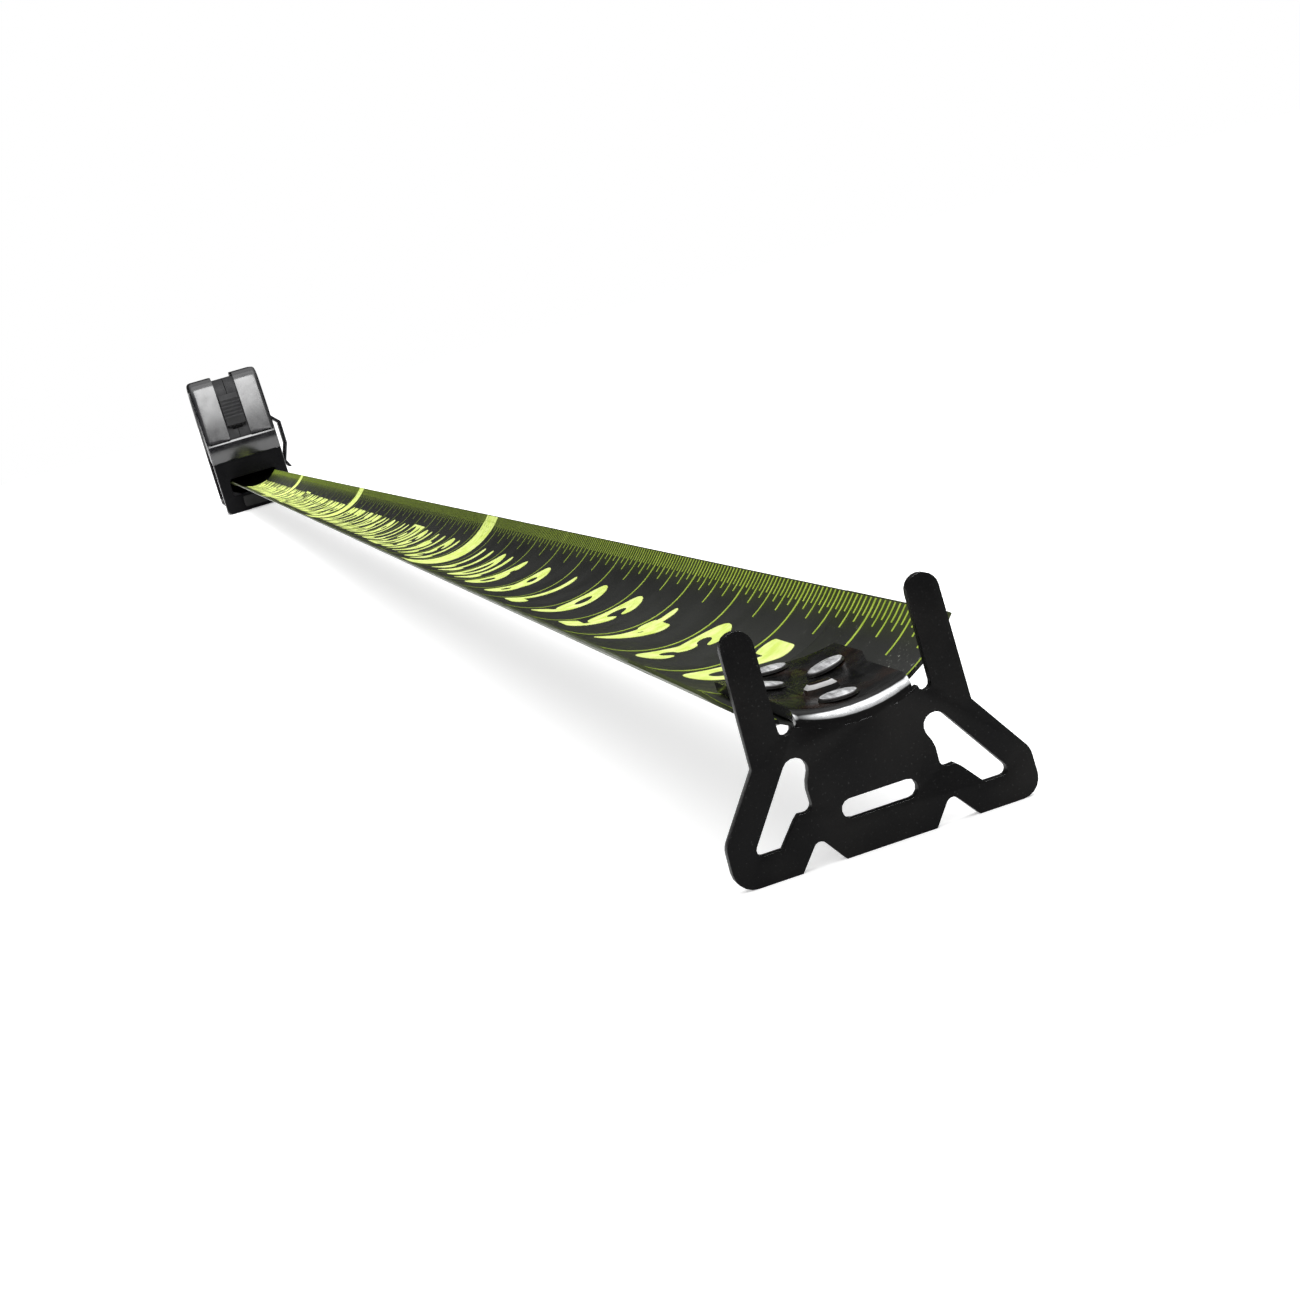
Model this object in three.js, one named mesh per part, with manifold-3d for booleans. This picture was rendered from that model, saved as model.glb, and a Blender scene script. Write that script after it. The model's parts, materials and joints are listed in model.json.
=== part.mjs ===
// A spring-return pocket tape measure with its blade drawn out.
// Millimetres. +Z is up, and the blade leaves the case along +X.
// The origin is the middle of the case's base.
import * as THREE from "three";
import { mergeVertices } from "three/addons/utils/BufferGeometryUtils.js";
import Module from "manifold-3d";

const wasm = await Module();
wasm.setup();

// ---------------------------------------------------------------- driving dimensions
const GAP = 0.3; // standard gap between two pieces that touch

const BLADE_WIDTH = 28.5; // measured flat
const BLADE_THICKNESS = 0.4;
const BLADE_RADIUS = 15.9; // cross curvature, to the upper face
const BLADE_OUT = 1143; // mouth to the hook's inner face: 45 in
const BLADE_Z = 12.2; // upper face at the middle of the blade
const TIP_LENGTH = 36;
const TONGUE_HALF = 5.3; // half width of the blade's tongue under the tab
const TONGUE_SHY = 0.5; // the tongue ends this far behind the hook's inner face
const END_BACK = 3; // and the rest of the blade's end lies this far behind it
const END_SLANT = 0.8; // towards the edges the end runs back this much further
const LEAVE_DROP = 0.5; // the blade leaves the coil this far below it
const OPEN_RUN = 8; // this far past the mouth the blade has its full cross curve

const HOOK_THICKNESS = 1.1;
const HOOK_PLAY = 1.1; // the hook slides by its own thickness, so inside and outside readings agree
const BEND_RADIUS = 0.6; // inside radius of the fold between tab and plate
const TAB_LENGTH = 31.3;
const TAB_HALF_FRONT = 5.7;
const TAB_HALF_REAR = 6.6;
const TAB_WIDENS = [11.5, 15.5]; // the tab widens between these distances behind the hook's inner face
const TAB_TAPERS = 24.8; // and tapers from here
const TAB_END_HALF = 1.2; // to this half width
const PLATE_DROP = 0.2; // the plate's heights are counted from here, just under the blade's upper face
const SLOT_HALF = 2.84; // the plate's middle slot, between its end centres
const SLOT_RADIUS = 0.95;
const SLOT_DROP = 7.61;
const NUB_BACK = 9.2; // hook's inner face to the middle of the raised block
const NUB_HEIGHT = 1;
const RIVET_SHANK = 0.9;
const RIVET_HEAD = 2;
const RIVET_HEAD_HEIGHT = 0.6;
const RIVET_TAIL = 0.5;
const BACKPLATE_THICKNESS = 0.7;
const BACKPLATE_HALF = 5.6;
const BACKPLATE_LENGTH = 29.5;
const BACKPLATE_NOSE = 12; // its front is narrower for this length
const BACKPLATE_NOSE_HALF = 3.2;

const DRUM_RADIUS = 17;
const DRUM_WALL = 1.3;
const DRUM_WEB = 1.5; // the drum's floor and its cover
const DRUM_SIDE = 1.1; // drum to the shell's inner face, with the thrust washer between them
const COIL_RADIUS = 24.5;
const POST_RADIUS = 5;
const POST_PLAY = 0.1; // more than the standard gap between the post and the drum's bore
const POST_SLIT = 0.6; // half width of the slit that holds the spring's inner end
const WASHER_RADIUS = 10;
const SPRING_TURNS = 6;
const SPRING_THICKNESS = 0.6;

const WALL = 2.2; // shell wall
const RAIL_DEPTH = 2.2; // the rails stand this far above the shell
const FRONT_ROOM = 16.5; // coil to the front of the case
const REAR_ROOM = 15.5;
const TOP_ROOM = 10;
const COIL_LIFT = 7.8; // from the blade's path up to the coil
const SIDE_ROOM = 1.25; // blade edge to the shell's inner face
const CHANNEL_HALF = 6.2; // half width of the front channel between the rails
const RAIL_SIDE = 1.8; // thickness of a rail's side flange
const RAIL_FLANGE = 5.5;
const FRONT_LEAN = 14; // the front leans back this far from the chin to the top
const FRONT_ROUND = 15; // rounding where the front meets the top
const MOUTH_TUCK = 0.65; // the mouth is this much narrower than half of the flat blade, each side
const MOUTH_LOW = 2.4; // mouth opening below the blade's middle
const MOUTH_OVER = 1.4; // mouth opening above the blade's curved edges
const FRAME_TOP = 9.8; // mouth opening to the chin band
const CHIN_HEIGHT = 11.4;
const TRIM_INSET = 0.4; // the mouth frame and the chin band end this far inside the rails' sides
const BUMPER_THICKNESS = 1.2;
const BUMPER_HALF = 9;
const BUMPER_LOW = 2.2;
const BUMPER_UNDER = 1.3; // mouth opening to the bumper
const FOOT_FRONT = 4; // shell's front and rear to the ends of the rubber foot
const FOOT_REAR = 14;
const GUIDE_THICKNESS = 1.5;
const GUIDE_RIM = 2.6; // the guide's raised side rims
const GUIDE_RIM_WIDE = 1.6;
const GUIDE_FLAT = 0.55; // share of its width that is flat
const GUIDE_DROP = 0.2; // mouth opening down to the guide
const GUIDE_START = 8; // reel's middle to the guide's rear end

const LOCK_TRAVEL = 7;
const LOCK_LENGTH = 19;
const LOCK_SIDE = 0.8; // button to the rails, each side
const LOCK_FROM_TOP = 20; // top corner to the middle of the button, along the channel
const LOCK_RIM = 2.2; // height of the button's plain ends
const LOCK_RIDGES = 6;
const RIDGE_LOW = 3.4;
const RIDGE_HIGH = 4.2;
const RIDGE_HALF = 0.9;
const RIDGE_END = 4; // end of the button to the first ridge
const STEM_HALF = 2.6;
const STEM_REACH = 4; // half height of the stem along the channel
const STEM_BEHIND = 0.8; // the stem ends this far behind the arm
const ARM_ROOM = 2; // shell's inner face to the arm
const ARM_THICKNESS = 2.2;
const ARM_HALF = 5;
const ARM_ABOVE = 2.7; // the arm goes on this far past its window
const ARM_PLAY = 0.5; // more than the standard gap between the lowered arm and the shell
const KNEE_ROUND = 1; // size of the bend between the arm's upright and leaned stretches
const PAD_HALF = 11.5;
const PAD_DEPTH = 7;
const PAD_HEIGHT = 2.6;
const LEAF_THICKNESS = 0.5; // the detent leaf
const LEAF_BOW = 1.2;
const LEAF_UNDER = 7; // middle of the button down to the leaf
const LEAF_WIDTH = 5;

const SCREW_SHANK = 1.5;
const SCREW_HEAD = 2.6;
const SCREW_HEAD_HEIGHT = 1.3;
const SCREW_POST = 3.4;
const BIT_HALF = 0.35; // the cross recess in a screw's head
const BIT_REACH = 1.6;
const BIT_DEPTH = 0.8;
const POST_SCREW_DEEP = 9.5; // shell's inner face to the tip of the screw in the post
const CLIP_HALF = 10;
const CLIP_THICKNESS = 1.4;
const CLIP_GAP = 6.6; // belt space between shell and clip
const CLIP_SCREW_LIFT = 14; // reel's middle up to the clip's screw
const BADGE_RADIUS = 15;
const BADGE_THICKNESS = 1.2;

// ---------------------------------------------------------------- derived places
const cavityHalf = BLADE_WIDTH / 2 + SIDE_ROOM;
const shellHalf = cavityHalf + WALL;
const railHalf = shellHalf + GAP + RAIL_SIDE;
const reelX = -1;
const reelZ = BLADE_Z + COIL_LIFT + COIL_RADIUS;
const caseFront = reelX + COIL_RADIUS + FRONT_ROOM;
const caseRear = reelX - COIL_RADIUS - REAR_ROOM;
const caseTop = reelZ + COIL_RADIUS + TOP_ROOM;
const shellFront = caseFront - RAIL_DEPTH;
const trimBack = shellFront + GAP;
const hookX = caseFront + BLADE_OUT;
const tipEnd = hookX - TONGUE_SHY;
const tipStart = hookX - TIP_LENGTH;
const bladeEdge = BLADE_RADIUS * Math.sin(BLADE_WIDTH / 2 / BLADE_RADIUS); // half width, curved
const edgeZ = BLADE_Z + arch(bladeEdge);
const mouthHalf = BLADE_WIDTH / 2 - MOUTH_TUCK;
const mouthLow = BLADE_Z - MOUTH_LOW;
const mouthHigh = edgeZ + MOUTH_OVER;
const chinLow = mouthHigh + FRAME_TOP;
const chinTop = chinLow + CHIN_HEIGHT;
const plateZ = BLADE_Z - PLATE_DROP;
const trimHalf = railHalf - TRIM_INSET;
const drumHalf = cavityHalf - DRUM_SIDE;
const tabLift = GAP + HOOK_THICKNESS;

// ---------------------------------------------------------------- solids
function solid(geometry) {
  const bare = geometry.clone();
  bare.deleteAttribute("normal");
  bare.deleteAttribute("uv");
  const merged = mergeVertices(bare, 1e-4);
  return new wasm.Manifold(
    new wasm.Mesh({
      numProp: 3,
      vertProperties: new Float32Array(merged.attributes.position.array),
      triVerts: new Uint32Array(merged.index.array),
    }),
  );
}

function shapeOf(points, holes = []) {
  const shape = new THREE.Shape(points.map(([a, b]) => new THREE.Vector2(a, b)));
  for (const hole of holes) {
    shape.holes.push(new THREE.Path(hole.map(([a, b]) => new THREE.Vector2(a, b))));
  }
  return shape;
}

function extrude(shape, depth) {
  return new THREE.ExtrudeGeometry(shape, { depth, bevelEnabled: false, steps: 1 });
}

// An outline in X and Z, made thick from y0 to y1.
function alongY(shape, y0, y1) {
  const geometry = extrude(shape, y1 - y0);
  geometry.rotateX(Math.PI / 2);
  geometry.translate(0, y1, 0);
  return solid(geometry);
}

// An outline in Y and Z, made thick from x0 to x1.
function alongX(shape, x0, x1) {
  const geometry = extrude(shape, x1 - x0);
  const axes = new THREE.Matrix4().makeBasis(
    new THREE.Vector3(0, 1, 0),
    new THREE.Vector3(0, 0, 1),
    new THREE.Vector3(1, 0, 0),
  );
  geometry.applyMatrix4(axes);
  geometry.translate(x0, 0, 0);
  return solid(geometry);
}

// An outline in X and Y, made thick from z0 to z1.
function alongZ(shape, z0, z1) {
  const geometry = extrude(shape, z1 - z0);
  geometry.translate(0, 0, z0);
  return solid(geometry);
}

function box(x0, x1, y0, y1, z0, z1) {
  const geometry = new THREE.BoxGeometry(x1 - x0, y1 - y0, z1 - z0);
  geometry.translate((x0 + x1) / 2, (y0 + y1) / 2, (z0 + z1) / 2);
  return solid(geometry);
}

// A body of revolution about a Y line through (x, z). Its profile is [radius, y] points.
function turned(profile, x, z, segments = 40) {
  const points = profile.map(([r, y]) => new THREE.Vector2(r, y));
  const geometry = new THREE.LatheGeometry(points, segments);
  geometry.translate(x, 0, z);
  return solid(geometry);
}

function rod(radius, y0, y1, x, z, segments = 20) {
  return turned([[0, y0], [radius, y0], [radius, y1], [0, y1]], x, z, segments);
}

function ring(inner, outer, y0, y1, x, z, segments = 48) {
  return turned([[inner, y0], [outer, y0], [outer, y1], [inner, y1], [inner, y0]], x, z, segments);
}

// Joins equal loops of points into one closed body. `faces` are the triangles that close its two ends.
function loft(loops, faces) {
  const n = loops[0].length;
  const positions = loops.flat(2);
  const index = [];
  for (let k = 0; k + 1 < loops.length; k++) {
    for (let i = 0; i < n; i++) {
      const j = (i + 1) % n;
      index.push(k * n + i, k * n + j, (k + 1) * n + j);
      index.push(k * n + i, (k + 1) * n + j, (k + 1) * n + i);
    }
  }
  const last = (loops.length - 1) * n;
  for (const [a, b, c] of faces) {
    index.push(c, b, a);
    index.push(last + a, last + b, last + c);
  }
  const geometry = new THREE.BufferGeometry();
  geometry.setAttribute("position", new THREE.Float32BufferAttribute(positions, 3));
  geometry.setIndex(index);
  return solid(geometry);
}

const root = new THREE.Group();

function material(color, roughness, metalness) {
  return new THREE.MeshStandardMaterial({ color, roughness, metalness });
}

const finish = {
  shell: material(0x1b1c1e, 0.55, 0),
  rail: material(0x101113, 0.22, 0),
  trim: material(0x0c0c0d, 0.6, 0),
  rubber: material(0x17181a, 0.85, 0),
  lock: material(0x26272a, 0.7, 0),
  nylon: material(0x2c2d30, 0.5, 0),
  inner: material(0x3a3c40, 0.5, 0),
  spring: material(0x6d7178, 0.35, 0.9),
  blade: material(0x14170f, 0.3, 0.2),
  hook: material(0x0d0d0e, 0.5, 0.4),
  rivet: material(0xc9ccd0, 0.25, 1),
  clip: material(0x2a2b2d, 0.35, 0.8),
  screw: material(0x55585c, 0.35, 0.9),
  badge: material(0x2b2c2f, 0.4, 0),
};

function addPiece(name, body, finishOf, parent = root) {
  const mesh = body.getMesh();
  const geometry = new THREE.BufferGeometry();
  geometry.setAttribute("position", new THREE.Float32BufferAttribute(mesh.vertProperties, 3));
  geometry.setIndex([...mesh.triVerts]);
  geometry.computeVertexNormals();
  const piece = new THREE.Mesh(geometry, finishOf);
  piece.name = name;
  parent.add(piece);
}

// ---------------------------------------------------------------- outlines
// A convex outline with each corner rounded to its own radius.
function rounded(corners, steps = 6) {
  const points = [];
  corners.forEach(([x, y, radius], i) => {
    const here = new THREE.Vector2(x, y);
    const before = new THREE.Vector2(...corners.at(i - 1).slice(0, 2)).sub(here).normalize();
    const next = corners[(i + 1) % corners.length];
    const after = new THREE.Vector2(...next.slice(0, 2)).sub(here).normalize();
    if (radius <= 0.01) {
      points.push([x, y]);
      return;
    }
    const half = before.angleTo(after) / 2;
    const middle = before.clone().add(after).normalize();
    const centre = middle.multiplyScalar(radius / Math.sin(half)).add(here);
    const reach = radius / Math.tan(half);
    const start = before.clone().multiplyScalar(reach).add(here).sub(centre).angle();
    const end = after.clone().multiplyScalar(reach).add(here).sub(centre).angle();
    let sweep = end - start;
    if (sweep > Math.PI) sweep -= 2 * Math.PI;
    if (sweep < -Math.PI) sweep += 2 * Math.PI;
    for (let k = 0; k <= steps; k++) {
      const angle = start + (sweep * k) / steps;
      points.push([centre.x + radius * Math.cos(angle), centre.y + radius * Math.sin(angle)]);
    }
  });
  return points;
}

// The same convex outline moved inwards on every side. Corners run counter-clockwise.
function inset(corners, distance) {
  const lines = corners.map(([x, y], i) => {
    const [nx, ny] = corners[(i + 1) % corners.length];
    const length = Math.hypot(nx - x, ny - y);
    const inward = [-(ny - y) / length, (nx - x) / length];
    return { x: x + inward[0] * distance, y: y + inward[1] * distance, dx: nx - x, dy: ny - y };
  });
  return corners.map(([, , radius], i) => {
    const a = lines.at(i - 1);
    const b = lines[i];
    const t = ((b.x - a.x) * b.dy - (b.y - a.y) * b.dx) / (a.dx * b.dy - a.dy * b.dx);
    return [a.x + a.dx * t, a.y + a.dy * t, Math.max(radius - distance, 0.6)];
  });
}

function arc(cx, cy, radius, fromDegrees, toDegrees, steps) {
  return Array.from({ length: steps + 1 }, (_, k) => {
    const angle = THREE.MathUtils.degToRad(fromDegrees + ((toDegrees - fromDegrees) * k) / steps);
    return [cx + radius * Math.cos(angle), cy + radius * Math.sin(angle)];
  });
}

// Side view of the whole case, counter-clockwise from the front of the base.
const caseCorners = [
  [caseFront, 0, 3],
  [caseFront, chinTop, 12],
  [caseFront - FRONT_LEAN, caseTop - 1.5, FRONT_ROUND],
  [caseRear + 11, caseTop, 20],
  [caseRear, reelZ - 4, 30],
  [caseRear + 1.5, 0, 9],
];

function caseShape(distance) {
  return shapeOf(rounded(inset(caseCorners, distance), 8));
}

// ---------------------------------------------------------------- blade
// Height of the blade's upper face at a distance y from its middle.
function arch(y, radius = BLADE_RADIUS) {
  return radius - Math.sqrt(radius * radius - y * y);
}

// The blade's section as a closed loop. `curl` goes from 0, flat, to 1, its full cross curvature.
function bladeLoop(x, curl, z, steps = 16) {
  const upper = [];
  const lower = [];
  for (let i = 0; i <= steps; i++) {
    const s = BLADE_WIDTH * (i / steps - 0.5);
    const bend = Math.max(curl, 1e-4) / BLADE_RADIUS;
    const angle = s * bend;
    upper.push([x, Math.sin(angle) / bend, z + (1 - Math.cos(angle)) / bend]);
    const outer = 1 / bend + BLADE_THICKNESS;
    lower.push([x, Math.sin(angle) * outer, z + 1 / bend - Math.cos(angle) * outer]);
  }
  return [...lower, ...upper.reverse()];
}

function bladeStretch(stations) {
  const loops = stations.map(([x, curl, z]) => bladeLoop(x, curl, z));
  const steps = loops[0].length / 2 - 1;
  const faces = [];
  for (let i = 0; i < steps; i++) {
    faces.push([i, i + 1, 2 * steps - i], [i, 2 * steps - i, 2 * steps + 1 - i]);
  }
  return loft(loops, faces);
}

function bladeSpan() {
  const start = reelX + 1;
  const opened = caseFront + OPEN_RUN;
  const startZ = BLADE_Z + COIL_LIFT - LEAVE_DROP;
  const stations = [];
  const steps = 10;
  for (let k = 0; k <= steps; k++) {
    const share = k / steps;
    const ease = share * share * (3 - 2 * share);
    const sunk = Math.min(1, ease * 1.25);
    stations.push([start + (opened - start) * share, ease, startZ + (BLADE_Z - startZ) * sunk]);
  }
  stations.push([tipStart - GAP, 1, BLADE_Z]);
  return bladeStretch(stations);
}

// Rivets: distance behind the hook's inner face, and place across the blade as an angle.
const rivetPlaces = [
  { back: 3.6, across: 0 },
  { back: 18, across: 3.7 },
  { back: 18, across: -3.7 },
  { back: 28, across: 0 },
];

// Puts a body made about a vertical line at the origin, whose height 0 is the blade's upper face,
// onto the blade's curved section, square to its surface.
function ontoBlade(geometry, back, across) {
  const angle = Math.asin(across / BLADE_RADIUS);
  geometry.translate(0, 0, -BLADE_RADIUS);
  geometry.rotateX(angle);
  geometry.translate(hookX - back, 0, BLADE_Z + BLADE_RADIUS);
  return solid(geometry);
}

function upright(profile, segments) {
  const geometry = new THREE.LatheGeometry(profile.map(([r, y]) => new THREE.Vector2(r, y)), segments);
  geometry.rotateX(Math.PI / 2);
  return geometry;
}

// A hole for a rivet shank, lengthened along X by `slide`.
function rivetHole(place, low, high, slide) {
  const radius = RIVET_SHANK + GAP;
  const round = [...arc(0, 0, radius, -90, 90, 8), ...arc(-slide, 0, radius, 90, 270, 8)];
  const geometry = extrude(shapeOf(round), high - low);
  geometry.translate(0, 0, low);
  return ontoBlade(geometry, place.back, place.across);
}

function bladeTip() {
  let body = bladeStretch([[tipStart, 1, BLADE_Z], [tipEnd, 1, BLADE_Z]]);
  const beyond = bladeEdge + 1;
  const end = hookX - END_BACK;
  for (const side of [-1, 1]) {
    const beside = [
      [hookX, side * TONGUE_HALF], [end + 1, side * TONGUE_HALF], [end, side * (TONGUE_HALF + 1)],
      [end - END_SLANT, side * beyond], [hookX, side * beyond],
    ];
    body = body.subtract(alongZ(shapeOf(beside), BLADE_Z - 3, edgeZ + 6));
  }
  for (const place of rivetPlaces) {
    body = body.subtract(rivetHole(place, -2, 2, 0));
  }
  return body;
}

// ---------------------------------------------------------------- hook
// Half of the plate's outline, from the notch beside the tab round to the middle of the bottom edge.
function plateHalf() {
  const z = (height) => plateZ + height;
  return [
    ...arc(6.9, z(1.35), 0.67, 180, 360, 6),
    ...arc(9.12, z(9.68), 1.57, 180, 0, 10),
    [10.85, z(-1.38)],
    ...arc(13.15, z(-8.2), 2.0, 32, 0, 3),
    ...arc(13.2, z(-10.0), 2.0, 0, -90, 5),
    [8.85, z(-12)],
    ...arc(6.6, z(-10.35), 0.72, 35, 145, 5),
    [4.5, z(-12)],
  ];
}

// The long three-cornered cut-out in a wing, with the small bump into it on its inner side.
function wingHole() {
  const z = (height) => plateZ + height;
  return [
    ...arc(6.99, z(-2.71), 1.25, 200, 35, 7),
    ...arc(11.86, z(-8.64), 0.62, 35, -90, 5),
    [10.05, z(-9.26)],
    [8.25, z(-7.1)],
    [7.75, z(-6.65)],
    ...arc(7.07, z(-5.96), 0.75, 280, 170, 5),
    [6.35, z(-4.7)],
    [6.2, z(-4.0)],
  ];
}

function mirrored(points) {
  return points.map(([y, z]) => [-y, z]).reverse();
}

function hookPlate() {
  const half = plateHalf();
  const front = TAB_HALF_FRONT;
  const rear = TAB_HALF_REAR;
  const topEdge = [];
  const topSteps = 8;
  for (let i = 1; i < topSteps; i++) {
    const y = -front + (2 * front * i) / topSteps;
    topEdge.push([y, BLADE_Z + GAP - BEND_RADIUS + arch(y)]);
  }
  const plateOutline = [...topEdge, ...half, ...mirrored(half)];
  const slotZ = plateZ - SLOT_DROP;
  const slot = [
    ...arc(SLOT_HALF, slotZ, SLOT_RADIUS, -90, 90, 6),
    ...arc(-SLOT_HALF, slotZ, SLOT_RADIUS, 90, 270, 6),
  ];
  let plate = alongX(shapeOf(plateOutline), hookX, hookX + HOOK_THICKNESS);
  for (const hole of [wingHole(), mirrored(wingHole()), slot]) {
    plate = plate.subtract(alongX(shapeOf(hole), hookX - 1, hookX + HOOK_THICKNESS + 1));
  }

  // The folded strip: a side view with the bend, made wide, then curved across to follow the blade.
  const low = BLADE_Z + GAP;
  const high = low + HOOK_THICKNESS;
  const outer = BEND_RADIUS + HOOK_THICKNESS;
  const centreX = hookX - BEND_RADIUS;
  const centreZ = low - BEND_RADIUS;
  const side = [
    [hookX - TAB_LENGTH, high],
    ...arc(centreX, centreZ, outer, 90, 0, 7),
    [hookX + HOOK_THICKNESS, low - 3],
    [hookX, low - 3],
    ...arc(centreX, centreZ, BEND_RADIUS, 0, 90, 5),
    [hookX - TAB_LENGTH, low],
  ];
  const across = { depth: 2 * rear, steps: 10, bevelEnabled: false };
  const strip = new THREE.ExtrudeGeometry(shapeOf(side), across);
  strip.rotateX(Math.PI / 2);
  strip.translate(0, rear, 0);
  const place = strip.attributes.position;
  for (let i = 0; i < place.count; i++) {
    place.setZ(i, place.getZ(i) + arch(place.getY(i)));
  }
  const plan = [
    [hookX + 5, front],
    [hookX - TAB_WIDENS[0], front],
    [hookX - TAB_WIDENS[1], rear],
    [hookX - TAB_TAPERS, rear],
    [hookX - TAB_LENGTH + 0.1, TAB_END_HALF],
  ];
  const planOutline = [...plan, ...plan.map(([x, y]) => [x, -y]).reverse()];
  let tab = solid(strip).intersect(alongZ(shapeOf(planOutline), low - 4, low + 9));
  tab = tab.add(nub());
  for (const rivet of rivetPlaces) {
    tab = tab.subtract(rivetHole(rivet, -0.2, tabLift + 1, HOOK_PLAY));
  }
  return plate.add(tab);
}

// The small raised block pressed up in the tab between the front rivet and the middle pair.
function nub() {
  const top = BLADE_Z + tabLift + NUB_HEIGHT;
  const base = BLADE_Z + tabLift - 0.5;
  const nubX = hookX - NUB_BACK;
  const stations = [[base, 1.95, 1.55], [top - 0.35, 1.5, 1.1], [top, 1.15, 0.75]];
  const loops = stations.map(([z, halfY, halfX]) =>
    [[-halfX, -0.6 * halfY], [-0.6 * halfX, -halfY], [0.6 * halfX, -halfY], [halfX, -0.6 * halfY],
     [halfX, 0.6 * halfY], [0.6 * halfX, halfY], [-0.6 * halfX, halfY], [-halfX, 0.6 * halfY]]
      .map(([x, y]) => [nubX + x, y, z]));
  const faces = loops[0].slice(2).map((_, i) => [0, i + 1, i + 2]);
  return loft(loops, faces);
}

function backplate() {
  const low = -(BLADE_THICKNESS + GAP + BACKPLATE_THICKNESS);
  const high = -(BLADE_THICKNESS + GAP);
  const steps = 8;
  const lower = [];
  const upper = [];
  for (let i = 0; i <= steps; i++) {
    const angle = ((i / steps) * 2 - 1) * (BACKPLATE_HALF / BLADE_RADIUS);
    const at = (rise) => {
      const radius = BLADE_RADIUS - rise;
      return [radius * Math.sin(angle), BLADE_Z + BLADE_RADIUS - radius * Math.cos(angle)];
    };
    lower.push(at(low));
    upper.push(at(high));
  }
  const end = hookX - 1;
  let body = alongX(shapeOf([...lower, ...upper.reverse()]), end - BACKPLATE_LENGTH, end);
  const noseHalf = BACKPLATE_NOSE_HALF;
  for (const [y0, y1] of [[noseHalf, bladeEdge], [-bladeEdge, -noseHalf]]) {
    body = body.subtract(box(end - BACKPLATE_NOSE, end + 1, y0, y1, BLADE_Z - 5, BLADE_Z + 5));
  }
  for (const place of rivetPlaces) {
    body = body.subtract(rivetHole(place, -3, 1, 0));
  }
  return body;
}

function rivet(place) {
  const headLow = tabLift + GAP;
  const tailHigh = -(BLADE_THICKNESS + BACKPLATE_THICKNESS + 2 * GAP);
  const profile = [
    [0, tailHigh - RIVET_TAIL],
    [RIVET_HEAD - 0.7, tailHigh - RIVET_TAIL],
    [RIVET_HEAD - 0.3, tailHigh - 0.2],
    [RIVET_HEAD - 0.3, tailHigh],
    [RIVET_SHANK, tailHigh],
    [RIVET_SHANK, headLow],
    [RIVET_HEAD, headLow],
    [RIVET_HEAD, headLow + 0.25 * RIVET_HEAD_HEIGHT],
    [0.85 * RIVET_HEAD, headLow + 0.7 * RIVET_HEAD_HEIGHT],
    [0.55 * RIVET_HEAD, headLow + 0.94 * RIVET_HEAD_HEIGHT],
    [0, headLow + RIVET_HEAD_HEIGHT],
  ];
  return ontoBlade(upright(profile, 20), place.back, place.across);
}

// ---------------------------------------------------------------- screws
// A screw along Y, with a cross recess in its head. It points from its head to its tip.
function screw(x, z, headY, tipY, headHeight = SCREW_HEAD_HEIGHT) {
  const out = Math.sign(headY - tipY);
  const profile = [
    [0, tipY],
    [0.6 * SCREW_SHANK, tipY],
    [SCREW_SHANK, tipY + out * 1],
    [SCREW_SHANK, headY - out * headHeight],
    [SCREW_HEAD, headY - out * headHeight],
    [SCREW_HEAD, headY - out * 0.3],
    [SCREW_HEAD - 0.4, headY],
    [0, headY],
  ];
  const body = turned(out > 0 ? profile : profile.reverse(), x, z, 20);
  const deep = headY - out * BIT_DEPTH;
  const low = Math.min(deep, headY + out);
  const high = Math.max(deep, headY + out);
  return body
    .subtract(box(x - BIT_REACH, x + BIT_REACH, low, high, z - BIT_HALF, z + BIT_HALF))
    .subtract(box(x - BIT_HALF, x + BIT_HALF, low, high, z - BIT_REACH, z + BIT_REACH));
}

const screwPlaces = [
  [45, 7.4],
  [140, 8.2],
  [228, 9.5],
].map(([degrees, beyond]) => {
  const angle = THREE.MathUtils.degToRad(degrees);
  const distance = COIL_RADIUS + beyond;
  return [reelX + distance * Math.cos(angle), reelZ + distance * Math.sin(angle)];
});
screwPlaces.push([reelX + 2.5, BLADE_Z - 3.6]);

const clipScrewZ = reelZ + CLIP_SCREW_LIFT;

// ---------------------------------------------------------------- lock frame
// The channel floor leans, so the lock's pieces are made upright and turned with it:
// X is out of the channel, Z is up along it, and the origin is where the channel leaves the chin.
const frontLine = inset(caseCorners, RAIL_DEPTH);
const chinCorner = frontLine[1];
const topCorner = frontLine[2];
const lean = Math.atan2(chinCorner[0] - topCorner[0], topCorner[1] - chinCorner[1]);
const lockMid = Math.hypot(topCorner[0] - chinCorner[0], topCorner[1] - chinCorner[1]) - LOCK_FROM_TOP;
const lockHalf = CHANNEL_HALF - LOCK_SIDE;

// The X and Z of a point that is given in the leaned frame.
function leanedPoint(x, z) {
  const [c, s] = [Math.cos(lean), Math.sin(lean)];
  return [chinCorner[0] + x * c - z * s, chinCorner[1] + x * s + z * c];
}

function leaned(body) {
  const turn = new THREE.Matrix4().makeRotationY(-lean).setPosition(chinCorner[0], 0, chinCorner[1]);
  return body.transform(turn.elements);
}

function lockSlot() {
  const reach = STEM_REACH + GAP;
  const half = STEM_HALF + GAP;
  return leaned(
    box(-WALL - ARM_ROOM, 3, -half, half, lockMid - reach - LOCK_TRAVEL, lockMid + reach),
  );
}

const armFront = -WALL - ARM_ROOM;
const armBack = armFront - ARM_THICKNESS;
const stemBack = armBack - STEM_BEHIND;
const padLow = edgeZ + GAP + LOCK_TRAVEL * Math.cos(lean);

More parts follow.
